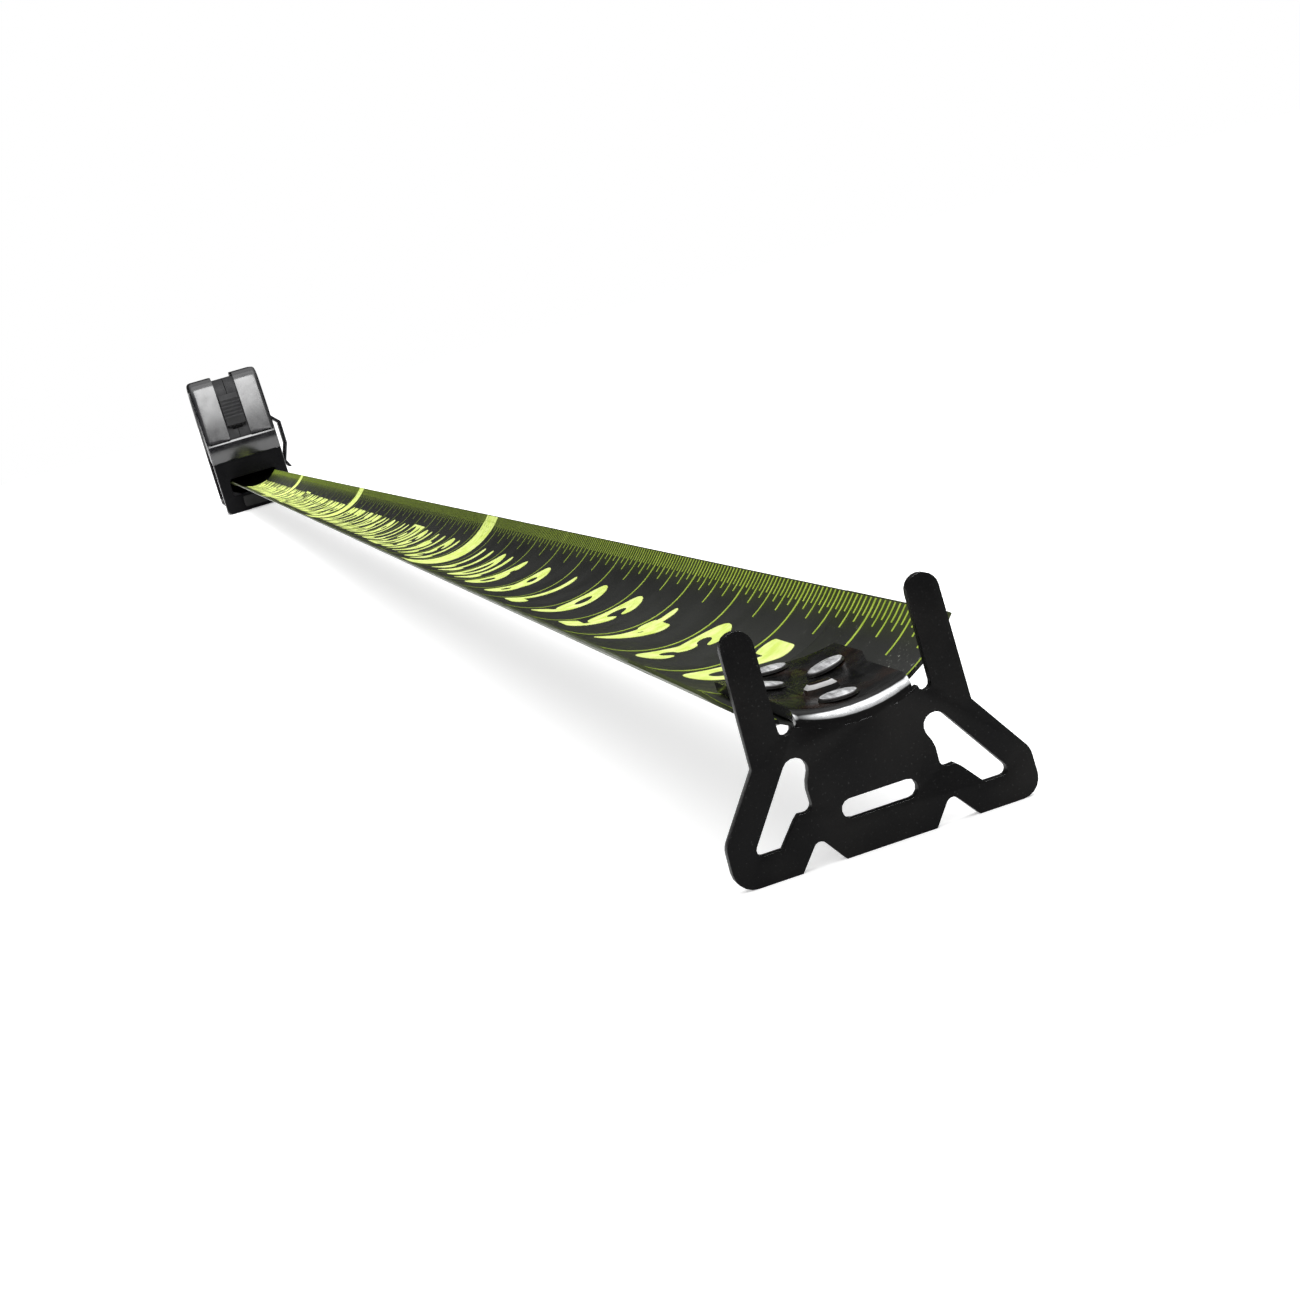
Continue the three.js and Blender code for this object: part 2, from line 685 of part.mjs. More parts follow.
function thumbLock() {
  const half = LOCK_LENGTH / 2;
  const mid = lockMid;
  const ridges = [];
  for (let i = 0; i < LOCK_RIDGES; i++) {
    const z = mid - half + RIDGE_END + ((LOCK_LENGTH - 2 * RIDGE_END) * i) / (LOCK_RIDGES - 1);
    ridges.push([RIDGE_LOW, z - RIDGE_HALF], [RIDGE_HIGH, z], [RIDGE_LOW, z + RIDGE_HALF]);
  }
  const profile = [
    [GAP, mid - half],
    [LOCK_RIM, mid - half],
    ...ridges,
    [LOCK_RIM, mid + half],
    [GAP, mid + half],
  ];
  const button = alongY(shapeOf(profile), -lockHalf, lockHalf);
  const stem = box(stemBack, 1, -STEM_HALF, STEM_HALF, mid - STEM_REACH, mid + STEM_REACH);
  return leaned(button.add(stem));
}

// The arm goes straight up from the brake pad, bends at a knee and follows the channel to the lock's stem.
function brakeArm() {
  const reach = STEM_REACH + GAP;
  const half = STEM_HALF + GAP;
  const top = lockMid + reach + ARM_ABOVE;
  const front = shellFront - WALL - GAP - LOCK_TRAVEL * Math.sin(lean) - ARM_PLAY;
  const back = front - ARM_THICKNESS;
  const knee = leanedPoint(armFront, 0)[1] - KNEE_ROUND;
  const bend = KNEE_ROUND * 4;
  const side = [
    [front, padLow], [front, knee], leanedPoint(armFront, bend), leanedPoint(armFront, top),
    leanedPoint(armBack, top), leanedPoint(armBack, bend - KNEE_ROUND),
    [back, knee - KNEE_ROUND], [back, padLow],
  ];
  const window = leaned(box(armBack - 1, armFront + 1, -half, half, lockMid - reach, lockMid + reach));
  const pad = box(front - PAD_DEPTH, front, -PAD_HALF, PAD_HALF, padLow, padLow + PAD_HEIGHT);
  return alongY(shapeOf(side), -ARM_HALF, ARM_HALF).subtract(window).add(pad);
}

// A bowed leaf across the case behind the stem, clear of it through its whole travel.
function detentSpring() {
  const steps = 12;
  const half = cavityHalf - GAP;
  const low = lockMid - LEAF_UNDER - LEAF_WIDTH;
  const near = [];
  const far = [];
  for (let i = 0; i <= steps; i++) {
    const y = -half + (2 * half * i) / steps;
    const x = stemBack - GAP - LEAF_BOW * (1 - Math.sin((Math.PI * i) / steps));
    near.push([x, y]);
    far.push([x - LEAF_THICKNESS, y]);
  }
  return leaned(alongZ(shapeOf([...near, ...far.reverse()]), low, low + LEAF_WIDTH));
}

// ---------------------------------------------------------------- case
function shell(side) {
  const from = (a, b) => (side > 0 ? [a, b] : [-b, -a]);
  const recessY = shellHalf - SCREW_HEAD_HEIGHT - 2 * GAP;
  const mouth = mouthHalf + GAP;
  let body = alongY(caseShape(RAIL_DEPTH), ...from(GAP / 2, shellHalf))
    .subtract(alongY(caseShape(RAIL_DEPTH + WALL), ...from(-1, cavityHalf)));
  for (const [x, z] of screwPlaces) {
    body = body.add(rod(SCREW_POST, ...from(GAP / 2, cavityHalf + 0.5), x, z, 24));
    const holeEnd = side > 0 ? shellHalf + 1 : cavityHalf - 1;
    body = body.subtract(rod(SCREW_SHANK + GAP, ...from(-1, holeEnd), x, z, 20));
    if (side > 0) {
      body = body.subtract(rod(SCREW_HEAD + GAP, recessY, shellHalf + 1, x, z, 24));
    }
  }
  body = body
    .subtract(box(shellFront - 6, caseFront + 2, -mouth, mouth, mouthLow - GAP, mouthHigh + GAP))
    .subtract(lockSlot());
  if (side > 0) {
    body = body.subtract(rod(SCREW_SHANK + GAP, cavityHalf - 1, shellHalf + 1, reelX, clipScrewZ, 20));
  } else {
    body = body
      .subtract(rod(SCREW_SHANK + GAP, -shellHalf - 1, -cavityHalf + 1, reelX, reelZ, 20))
      .subtract(rod(SCREW_HEAD + GAP, -shellHalf - 1, -recessY, reelX, reelZ, 24));
  }
  return body;
}

function rail(side) {
  const bevel = RAIL_DEPTH;
  const depth = railHalf - 2 * bevel;
  const geometry = new THREE.ExtrudeGeometry(caseShape(bevel), {
    depth, bevelEnabled: true, bevelThickness: bevel, bevelSize: bevel, bevelSegments: 3, steps: 1,
  });
  geometry.rotateX(Math.PI / 2);
  geometry.translate(0, side > 0 ? railHalf - bevel : -bevel, 0);
  const from = (a, b) => (side > 0 ? [a, b] : [-b, -a]);
  return solid(geometry)
    .intersect(box(caseRear - 1, caseFront + 1, ...from(CHANNEL_HALF, railHalf + 1), -1, caseTop + 1))
    .subtract(alongY(caseShape(RAIL_DEPTH - GAP), ...from(-1, shellHalf + GAP)))
    .subtract(alongY(caseShape(RAIL_FLANGE), ...from(0, railHalf + 1)))
    .subtract(box(trimBack - GAP, caseFront + 5, ...from(0, railHalf + 1), -1, chinTop + GAP));
}

function chinPlate() {
  const face = [
    [trimBack, chinLow + GAP],
    [caseFront + 0.2, chinLow + GAP],
    [caseFront + 0.6, chinLow + 1.2],
    [caseFront + 0.2, chinTop - 1.2],
    [caseFront - 0.8, chinTop],
    [trimBack, chinTop],
  ];
  return alongY(shapeOf(face), -trimHalf, trimHalf);
}

function mouthFrame() {
  const half = trimHalf;
  const frame = rounded([[-half, GAP, 3], [half, GAP, 3], [half, chinLow, 0], [-half, chinLow, 0]], 5);
  const opening = rounded([
    [-mouthHalf, mouthLow, 1], [mouthHalf, mouthLow, 1],
    [mouthHalf, mouthHigh, 2], [-mouthHalf, mouthHigh, 2],
  ], 4);
  return alongX(shapeOf(frame, [opening]), trimBack, caseFront);
}

function hookBumper() {
  const half = BUMPER_HALF;
  const low = BUMPER_LOW;
  const high = mouthLow - BUMPER_UNDER;
  const pad = rounded([[-half, low, 1.2], [half, low, 1.2], [half, high, 1.2], [-half, high, 1.2]], 4);
  return alongX(shapeOf(pad), caseFront + GAP, caseFront + GAP + BUMPER_THICKNESS);
}

function basePad() {
  const half = CHANNEL_HALF - GAP;
  const front = shellFront - FOOT_FRONT;
  const rear = caseRear + FOOT_REAR;
  const plan = rounded([[rear, -half, 2], [front, -half, 2], [front, half, 2], [rear, half, 2]], 4);
  return alongZ(shapeOf(plan), 0, RAIL_DEPTH - GAP);
}

function bladeGuide() {
  const half = cavityHalf - GAP;
  const top = mouthLow - GUIDE_DROP;
  const low = top - GUIDE_THICKNESS;
  const rim = top + GUIDE_RIM;
  const flat = GUIDE_FLAT * half;
  const inner = half - GUIDE_RIM_WIDE;
  const section = [
    [-half, low], [half, low], [half, rim], [inner, rim],
    [flat, top], [-flat, top], [-inner, rim], [-half, rim],
  ];
  return alongX(shapeOf(section), reelX + GUIDE_START, shellFront - WALL - GAP);
}

// ---------------------------------------------------------------- reel
function reelDrum() {
  const web = -drumHalf + DRUM_WEB;
  const bore = POST_RADIUS + GAP + POST_PLAY;
  return turned([
    [bore, -drumHalf],
    [DRUM_RADIUS, -drumHalf],
    [DRUM_RADIUS, drumHalf],
    [DRUM_RADIUS - DRUM_WALL, drumHalf],
    [DRUM_RADIUS - DRUM_WALL, web],
    [bore, web],
    [bore, -drumHalf],
  ], reelX, reelZ, 56);
}

function drumCover() {
  const inner = POST_RADIUS + GAP + POST_PLAY;
  const outer = DRUM_RADIUS - DRUM_WALL - GAP;
  return ring(inner, outer, drumHalf - DRUM_WEB, drumHalf, reelX, reelZ, 48);
}

function powerSpring() {
  const inner = POST_RADIUS + 1.8;
  const outer = DRUM_RADIUS - DRUM_WALL - GAP - SPRING_THICKNESS;
  const steps = SPRING_TURNS * 28;
  const near = [];
  const far = [];
  for (let i = 0; i <= steps; i++) {
    const share = i / steps;
    const angle = share * SPRING_TURNS * 2 * Math.PI;
    const radius = inner + (outer - inner) * share;
    near.push([reelX + radius * Math.cos(angle), reelZ + radius * Math.sin(angle)]);
    far.push([
      reelX + (radius + SPRING_THICKNESS) * Math.cos(angle),
      reelZ + (radius + SPRING_THICKNESS) * Math.sin(angle),
    ]);
  }
  const half = drumHalf - DRUM_WEB - GAP;
  return alongY(shapeOf([...near, ...far.reverse()]), -half, half);
}

function centerPost() {
  const half = cavityHalf - GAP;
  const holeEnd = POST_SCREW_DEEP + 1 - half;
  const slitStart = 2 - drumHalf;
  const [slitLow, slitHigh] = [reelX - POST_SLIT, reelX + POST_SLIT];
  return rod(POST_RADIUS, -half, half, reelX, reelZ, 36)
    .subtract(rod(SCREW_SHANK + GAP, -half - 1, holeEnd, reelX, reelZ, 20))
    .subtract(box(slitLow, slitHigh, slitStart, half + 1, reelZ - 0.1, reelZ + POST_RADIUS + 1));
}

function beltClip() {
  const inner = shellHalf + GAP;
  const t = CLIP_THICKNESS;
  const away = shellHalf + CLIP_GAP;
  const top = clipScrewZ + 7;
  const bottom = BLADE_Z + 4;
  const side = [
    [inner, top], [inner, top - 15], [inner + 1, top - 17.5], [away, top - 23], [away, bottom + 14],
    [away - 3.4, bottom + 4], [away - 1.2, bottom],
  ];
  const back = [
    [away + t - 1.2, bottom], [away - 3.4 + t + 0.1, bottom + 4.2], [away + t, bottom + 13.8],
    [away + t, top - 22.4], [inner + t + 0.9, top - 16.8], [inner + t, top - 14.6], [inner + t, top],
  ];
  const body = alongX(shapeOf([...side, ...back]), reelX - CLIP_HALF, reelX + CLIP_HALF);
  return body.subtract(rod(SCREW_SHANK + GAP, inner - 1, inner + t + 1, reelX, clipScrewZ, 20));
}

function sideBadge() {
  const out = -shellHalf - GAP;
  const face = out - BADGE_THICKNESS;
  const profile = [
    [0, face], [BADGE_RADIUS - BADGE_THICKNESS, face], [BADGE_RADIUS, out - BADGE_THICKNESS / 3],
    [BADGE_RADIUS, out], [0, out],
  ];
  return turned(profile, reelX, reelZ, 48);
}

// ---------------------------------------------------------------- assembly
addPiece("case_left", shell(-1), finish.shell);
addPiece("case_right", shell(1), finish.shell);
addPiece("rail_left", rail(-1), finish.rail);
addPiece("rail_right", rail(1), finish.rail);
addPiece("chin_plate", chinPlate(), finish.rail);
addPiece("mouth_frame", mouthFrame(), finish.trim);
addPiece("hook_bumper", hookBumper(), finish.rubber);
addPiece("base_pad", basePad(), finish.rubber);
addPiece("blade_guide", bladeGuide(), finish.nylon);

addPiece("thumb_lock", thumbLock(), finish.lock);
addPiece("brake_arm", brakeArm(), finish.nylon);
addPiece("detent_spring", detentSpring(), finish.spring);

addPiece("center_post", centerPost(), finish.inner);
addPiece("post_screw", screw(reelX, reelZ, -shellHalf + GAP, -cavityHalf + POST_SCREW_DEEP),
  finish.screw);
addPiece("reel_drum", reelDrum(), finish.inner);
addPiece("drum_cover", drumCover(), finish.inner);
addPiece("power_spring", powerSpring(), finish.spring);
for (const [name, side] of [["thrust_washer_left", -1], ["thrust_washer_right", 1]]) {
  const near = side * (drumHalf + GAP);
  const far = side * (cavityHalf - GAP);
  const [low, high] = [Math.min(near, far), Math.max(near, far)];
  const washer = ring(POST_RADIUS + GAP, WASHER_RADIUS, low, high, reelX, reelZ, 36);
  addPiece(name, washer, finish.nylon);
}
addPiece("blade_coil",
  ring(DRUM_RADIUS + GAP, COIL_RADIUS, -BLADE_WIDTH / 2, BLADE_WIDTH / 2, reelX, reelZ, 72), finish.blade);
addPiece("blade_span", bladeSpan(), finish.blade);
addPiece("blade_tip", bladeTip(), finish.blade);

addPiece("hook_plate", hookPlate(), finish.hook);
addPiece("hook_backplate", backplate(), finish.hook);
rivetPlaces.forEach((place, i) => addPiece(`hook_rivet_${i + 1}`, rivet(place), finish.rivet));

addPiece("belt_clip", beltClip(), finish.clip);
const clipScrewHead = shellHalf + 2 * GAP + CLIP_THICKNESS + SCREW_HEAD_HEIGHT;
addPiece("belt_clip_screw", screw(reelX, clipScrewZ, clipScrewHead, cavityHalf + 0.2), finish.screw);
screwPlaces.forEach(([x, z], i) => {
  addPiece(`case_screw_${i + 1}`, screw(x, z, shellHalf - GAP, -cavityHalf + 2.5), finish.screw);
});
addPiece("side_badge", sideBadge(), finish.badge);

export default root;
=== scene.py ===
"""A tape measure with its blade drawn out: finish, printed scale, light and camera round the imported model.

Metres, +Z up, the blade leaves the case along +X. The object's sizes are written in millimetres and
multiplied by MM.
"""

import json
import math

import bmesh
import bpy
from mathutils import Matrix, Vector


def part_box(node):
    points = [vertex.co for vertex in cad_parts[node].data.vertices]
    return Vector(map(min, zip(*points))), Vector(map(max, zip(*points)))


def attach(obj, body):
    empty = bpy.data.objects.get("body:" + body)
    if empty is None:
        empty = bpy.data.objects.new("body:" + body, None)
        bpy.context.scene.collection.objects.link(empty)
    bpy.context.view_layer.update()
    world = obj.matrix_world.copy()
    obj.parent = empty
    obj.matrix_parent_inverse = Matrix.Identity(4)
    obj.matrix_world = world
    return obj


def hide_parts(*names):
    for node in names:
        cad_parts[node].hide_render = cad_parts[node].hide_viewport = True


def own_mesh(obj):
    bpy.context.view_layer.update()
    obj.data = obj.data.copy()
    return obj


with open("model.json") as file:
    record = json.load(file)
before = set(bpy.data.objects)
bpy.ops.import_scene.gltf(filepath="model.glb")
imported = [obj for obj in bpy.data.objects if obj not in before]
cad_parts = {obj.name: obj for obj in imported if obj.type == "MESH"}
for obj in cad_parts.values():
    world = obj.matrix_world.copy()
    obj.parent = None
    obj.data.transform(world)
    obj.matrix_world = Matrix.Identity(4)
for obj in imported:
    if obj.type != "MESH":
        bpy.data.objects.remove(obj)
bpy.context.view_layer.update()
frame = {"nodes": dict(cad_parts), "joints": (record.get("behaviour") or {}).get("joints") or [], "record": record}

MM = 0.001
INCH = 25.4 * MM

# ---------------------------------------------------------------- sizes shared with the model
HOOK_THICKNESS = 1.1 * MM
BLADE_WIDTH = 28.5 * MM  # measured flat
BLADE_THICKNESS = 0.4 * MM
BLADE_RADIUS = 15.9 * MM  # cross curvature, to the upper face
COIL_CLEARANCE = 0.5 * MM
TAB_TOP = 1.4 * MM  # upper face of the blade to that of the tab
NUB_HEIGHT = 1.0 * MM
NUB_HALF = 2 * MM
NUB_EDGE = 0.40 * MM  # height of the slanted edge round the nub's top
END_BACK = 3.0 * MM  # the blade's end lies this far behind the hook's inner face, beside its tongue
END_SLANT = 0.8 * MM
TONGUE_HALF = 5.3 * MM
OPEN_RUN = 8 * MM  # past the mouth, the blade reaches its full cross curve

LOW, HIGH = 0, 1  # the two corners of a box
tip_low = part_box("blade_tip")[LOW]

hook_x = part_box("hook_plate")[HIGH].x - HOOK_THICKNESS  # the hook's inner face, where the scale starts
blade_z = tip_low.z + BLADE_THICKNESS  # upper face at the middle of the blade
mouth_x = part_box("mouth_frame")[HIGH].x
span_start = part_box("blade_span")[LOW].x
span_end = tip_low.x
open_x = mouth_x + OPEN_RUN
nub_edge_z = blade_z + TAB_TOP + NUB_HEIGHT - NUB_EDGE
coil_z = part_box("blade_coil")[LOW].z - COIL_CLEARANCE
joints = {joint["name"]: joint for joint in frame["joints"]}


# ---------------------------------------------------------------- small helpers
def smooth(share):
    """Eases from 0 to 1 with level ends."""
    share = min(max(share, 0.0), 1.0)
    return share * share * (3 - 2 * share)


def link_mesh(name, vertices, faces, material):
    mesh = bpy.data.meshes.new(name)
    mesh.from_pydata([tuple(v) for v in vertices], [], faces)
    mesh.validate()
    mesh.materials.append(material)
    piece = bpy.data.objects.new(name, mesh)
    bpy.context.scene.collection.objects.link(piece)
    return piece


def shade(piece, angle_degrees=35):
    """Smooth faces, with a crease where two of them meet at more than the angle."""
    mesh = piece.data
    mesh.polygons.foreach_set("use_smooth", [True] * len(mesh.polygons))
    mesh.set_sharp_from_angle(angle=math.radians(angle_degrees))


def tidy_normals(piece):
    """All faces turned outwards."""
    shape = bmesh.new()
    shape.from_mesh(piece.data)
    bmesh.ops.recalc_face_normals(shape, faces=shape.faces)
    shape.to_mesh(piece.data)
    shape.free()


def apply_modifiers(piece):
    graph = bpy.context.evaluated_depsgraph_get()
    made = bpy.data.meshes.new_from_object(piece.evaluated_get(graph))
    piece.modifiers.clear()
    piece.data = made


# ---------------------------------------------------------------- materials
class Nodes:
    """Builds one procedural material, with its shader's constants set on its own sockets."""

    def __init__(self, name, **sockets):
        self.material = bpy.data.materials.new(name)
        self.material.use_nodes = True
        self.tree = self.material.node_tree
        self.shader = self.tree.nodes["Principled BSDF"]
        for socket, value in sockets.items():
            self.shader.inputs[socket.replace("_", " ")].default_value = value
        self.place = self.add("ShaderNodeTexCoord").outputs["Object"]

    def add(self, kind, **settings):
        node = self.tree.nodes.new(kind)
        for key, value in settings.items():
            setattr(node, key, value)
        return node

    def join(self, source, target):
        self.tree.links.new(source, target)

    def scaled_place(self, scale):
        mapping = self.add("ShaderNodeMapping")
        mapping.inputs["Scale"].default_value = scale
        self.join(self.place, mapping.inputs["Vector"])
        return mapping.outputs["Vector"]

    def noise(self, scale, detail=3.0, roughness=0.5, stretch=None):
        node = self.add("ShaderNodeTexNoise")
        node.inputs["Scale"].default_value = scale
        node.inputs["Detail"].default_value = detail
        node.inputs["Roughness"].default_value = roughness
        self.join(self.scaled_place(stretch) if stretch else self.place, node.inputs["Vector"])
        return node.outputs["Fac"]

    def spread(self, value, low, high, to_low=0.0, to_high=1.0):
        node = self.add("ShaderNodeMapRange", interpolation_type="SMOOTHSTEP")
        for socket, number in zip(("From Min", "From Max", "To Min", "To Max"), (low, high, to_low, to_high)):
            node.inputs[socket].default_value = number
        self.join(value, node.inputs["Value"])
        return node.outputs["Result"]

    def math(self, operation, a, b=None):
        node = self.add("ShaderNodeMath", operation=operation)
        for socket, value in zip(node.inputs, (a, b)):
            if isinstance(value, (int, float)):
                socket.default_value = value
            elif value is not None:
                self.join(value, socket)
        return node.outputs["Value"]

    def blend(self, factor, a, b):
        """Mixes two colours, each a triple or a socket."""
        node = self.add("ShaderNodeMix", data_type="RGBA")
        self.join(factor, node.inputs["Factor"])
        for socket, value in ((node.inputs[6], a), (node.inputs[7], b)):
            if isinstance(value, tuple):
                socket.default_value = (*value, 1)
            else:
                self.join(value, socket)
        return node.outputs[2]

    def colour(self, socket):
        self.join(socket, self.shader.inputs["Base Color"])
        return self

    def roughness(self, socket):
        self.join(socket, self.shader.inputs["Roughness"])
        return self

    def metal(self, socket):
        self.join(socket, self.shader.inputs["Metallic"])
        return self

    def bump(self, height, depth, strength=1.0):
        node = self.add("ShaderNodeBump")
        node.inputs["Distance"].default_value = depth
        node.inputs["Strength"].default_value = strength
        self.join(height, node.inputs["Height"])
        self.join(node.outputs["Normal"], self.shader.inputs["Normal"])
        return self


def moulded(name, dark, light, rough, grain, depth, **sockets):
    """Moulded plastic or rubber: a fine grain, slightly uneven colour and uneven gloss."""
    made = Nodes(name, **sockets)
    broad = made.noise(60, detail=4)
    made.colour(made.blend(made.spread(broad, 0.3, 0.7), dark, light))
    made.roughness(made.spread(made.noise(220), 0.3, 0.7, rough - 0.06, rough + 0.06))
    return made.bump(made.noise(grain, detail=2), depth).material


def brushed(name, dark, light, rough, stretch, **sockets):
    """Bare steel with fine lines drawn along one axis."""
    made = Nodes(name, Metallic=1.0, **sockets)
    lines = made.noise(900, detail=4, stretch=stretch)
    made.colour(made.blend(made.spread(lines, 0.3, 0.7), dark, light))
    made.roughness(made.spread(lines, 0.25, 0.75, rough - 0.07, rough + 0.1))
    return made.bump(lines, 0.004 * MM).material


def separate(made):
    node = made.add("ShaderNodeSeparateXYZ")
    made.join(made.place, node.inputs["Vector"])
    return node


def facing_up(made, normal="Normal"):
    """How far a surface faces up, from -1 to 1."""
    split = made.add("ShaderNodeSeparateXYZ")
    made.join(made.add("ShaderNodeNewGeometry").outputs[normal], split.inputs["Vector"])
    return split.outputs["Z"]


def blade_finish():
    """Black satin nylon over steel, with a painted olive sheen towards the two edges, and scuffed pale near the
    hook.
    """
    made = Nodes("blade_coat", Specular_IOR_Level=0.22)
    place = separate(made)
    across = made.math("ABSOLUTE", place.outputs["Y"])
    # Painted sheen: this edge mask blends olive into the colour towards the two edges of the blade.
    edge = made.spread(across, 8.5 * MM, 12.4 * MM)
    broad = made.spread(made.noise(35, detail=3, stretch=(0.3, 1, 1)), 0.35, 0.7)
    body = made.blend(broad, (0.007, 0.0075, 0.0065), (0.015, 0.016, 0.013))
    coat = made.blend(edge, body, (0.035, 0.045, 0.010))
    near = made.spread(place.outputs["X"], hook_x - 60 * MM, hook_x - 15 * MM)
    band = made.math("MULTIPLY", made.spread(place.outputs["Y"], 5 * MM, 8 * MM),
                     made.spread(place.outputs["Y"], 12 * MM, 9 * MM))
    specks = made.spread(made.noise(2600, detail=5, roughness=0.7), 0.6, 0.7)
    patches = made.spread(made.noise(240, detail=3), 0.5, 0.65)
    worn = made.math("MULTIPLY", made.math("MULTIPLY", specks, patches), made.math("MULTIPLY", near, band))
    made.colour(made.blend(made.math("MULTIPLY", worn, 0.8), coat, (0.42, 0.44, 0.38)))
    made.roughness(made.spread(made.noise(160, detail=4), 0.3, 0.7, 0.34, 0.46))
    return made.bump(made.noise(3200, detail=2), 0.006 * MM).material


def ink(name, dark, light, far=None, rough=0.42):
    """Printed ink, a little uneven. Away from the hook it turns to the far colour."""
    made = Nodes(name, Specular_IOR_Level=0.4)
    fresh = made.blend(made.spread(made.noise(500, detail=3), 0.3, 0.7), dark, light)
    if far:
        near = made.spread(separate(made).outputs["X"], hook_x - 300 * MM, hook_x - 50 * MM)
        fresh = made.blend(near, far, fresh)
    made.colour(fresh)
    made.roughness(made.spread(made.noise(900), 0.3, 0.7, rough - 0.05, rough + 0.08))
    return made.bump(made.noise(2600, detail=2), 0.004 * MM).material


def hook_finish():
    """Black powder coat with an orange-peel grain, and a painted highlight along the bend: bright bare metal where
    the surface faces one fixed direction, up and forwards, broken up by scuffs.
    """
    made = Nodes("hook_coat", Specular_IOR_Level=0.08)
    normal = made.add("ShaderNodeNewGeometry").outputs["Normal"]
    # Painted highlight: where the bend faces this one direction, up and forwards, the coat gives way to bright
    # bare metal, broken up by scuffs.
    highlight_facing = made.add("ShaderNodeVectorMath", operation="DOT_PRODUCT")
    highlight_facing.inputs[1].default_value = Vector((1, -0.1, 0.95)).normalized()
    made.join(normal, highlight_facing.inputs[0])
    scuffs = made.noise(700, detail=5, roughness=0.65)
    highlight_band = made.spread(highlight_facing.outputs["Value"], 0.945, 0.985)
    rubbed = made.math("MULTIPLY", highlight_band, made.spread(scuffs, 0.25, 0.5, 0.55, 1.0))
    broad = made.spread(made.noise(120, detail=3), 0.35, 0.7)
    coat = made.blend(broad, (0.0025, 0.0025, 0.0027), (0.006, 0.0057, 0.0055))
    specks = made.spread(made.noise(4200, detail=3, roughness=0.6), 0.62, 0.74)
    coat = made.blend(made.math("MULTIPLY", specks, 0.35), coat, (0.05, 0.05, 0.05))
    made.colour(made.blend(rubbed, coat, (0.74, 0.75, 0.76)))
    made.metal(rubbed)
    made.roughness(made.spread(rubbed, 0.0, 1.0, 0.42, 0.24))
    return made.bump(made.noise(2100, detail=3), 0.035 * MM, strength=0.7).material


def tab_finish():
    """The hook's tab: the same coat, smoother and glossy, with a brown cast where it is rubbed thin."""
    made = Nodes("tab_coat", Specular_IOR_Level=0.2)
    thin = made.spread(made.noise(170, detail=5, roughness=0.6), 0.48, 0.68)
    coat = made.blend(thin, (0.002, 0.002, 0.002), (0.016, 0.008, 0.005))
    place = separate(made)
    on_nub = made.math("MULTIPLY", made.math("GREATER_THAN", place.outputs["Z"], nub_edge_z),
                       made.math("LESS_THAN", made.math("ABSOLUTE", place.outputs["Y"]), NUB_HALF))
    edge = made.math("MULTIPLY", on_nub, made.math("LESS_THAN", facing_up(made, "True Normal"), 0.97))
    made.colour(made.blend(edge, coat, (0.5, 0.5, 0.5)))
    made.roughness(made.spread(made.noise(420, detail=4), 0.3, 0.7, 0.14, 0.3))
    return made.bump(made.noise(900, detail=3), 0.02 * MM, strength=0.35).material


def rivet_finish():
    """Black coated heads with bright steel crowns, fine lines and dents. The up-facing crowns are partly rubbed
    steel and partly a painted highlight; the steep sides are painted dark as shade.
    """
    made = Nodes("rivet_steel_painted_highlight")
    lines = made.spread(made.noise(1900, detail=5, stretch=(0.2, 1, 1)), 0.3, 0.7)
    steel = made.blend(lines, (0.34, 0.34, 0.35), (0.82, 0.83, 0.84))
    # Painted highlight and painted shade: faces turned up get the bright steel, the steep sides the dark coat.
    crown = made.spread(facing_up(made), 0.9, 0.955)
    made.colour(made.blend(crown, (0.008, 0.007, 0.007), steel))
    made.metal(made.math("MULTIPLY", crown, 0.45))
    made.roughness(made.spread(made.noise(700, detail=3), 0.3, 0.7, 0.22, 0.4))
    return made.bump(made.noise(650, detail=4), 0.03 * MM, strength=0.8).material


LIME_DARK = (0.60, 0.74, 0.12)
LIME_LIGHT = (0.78, 0.88, 0.30)
LINE_DARK = (0.30, 0.42, 0.03)
LINE_LIGHT = (0.42, 0.56, 0.055)
LINE_FAR = (0.20, 0.27, 0.03)

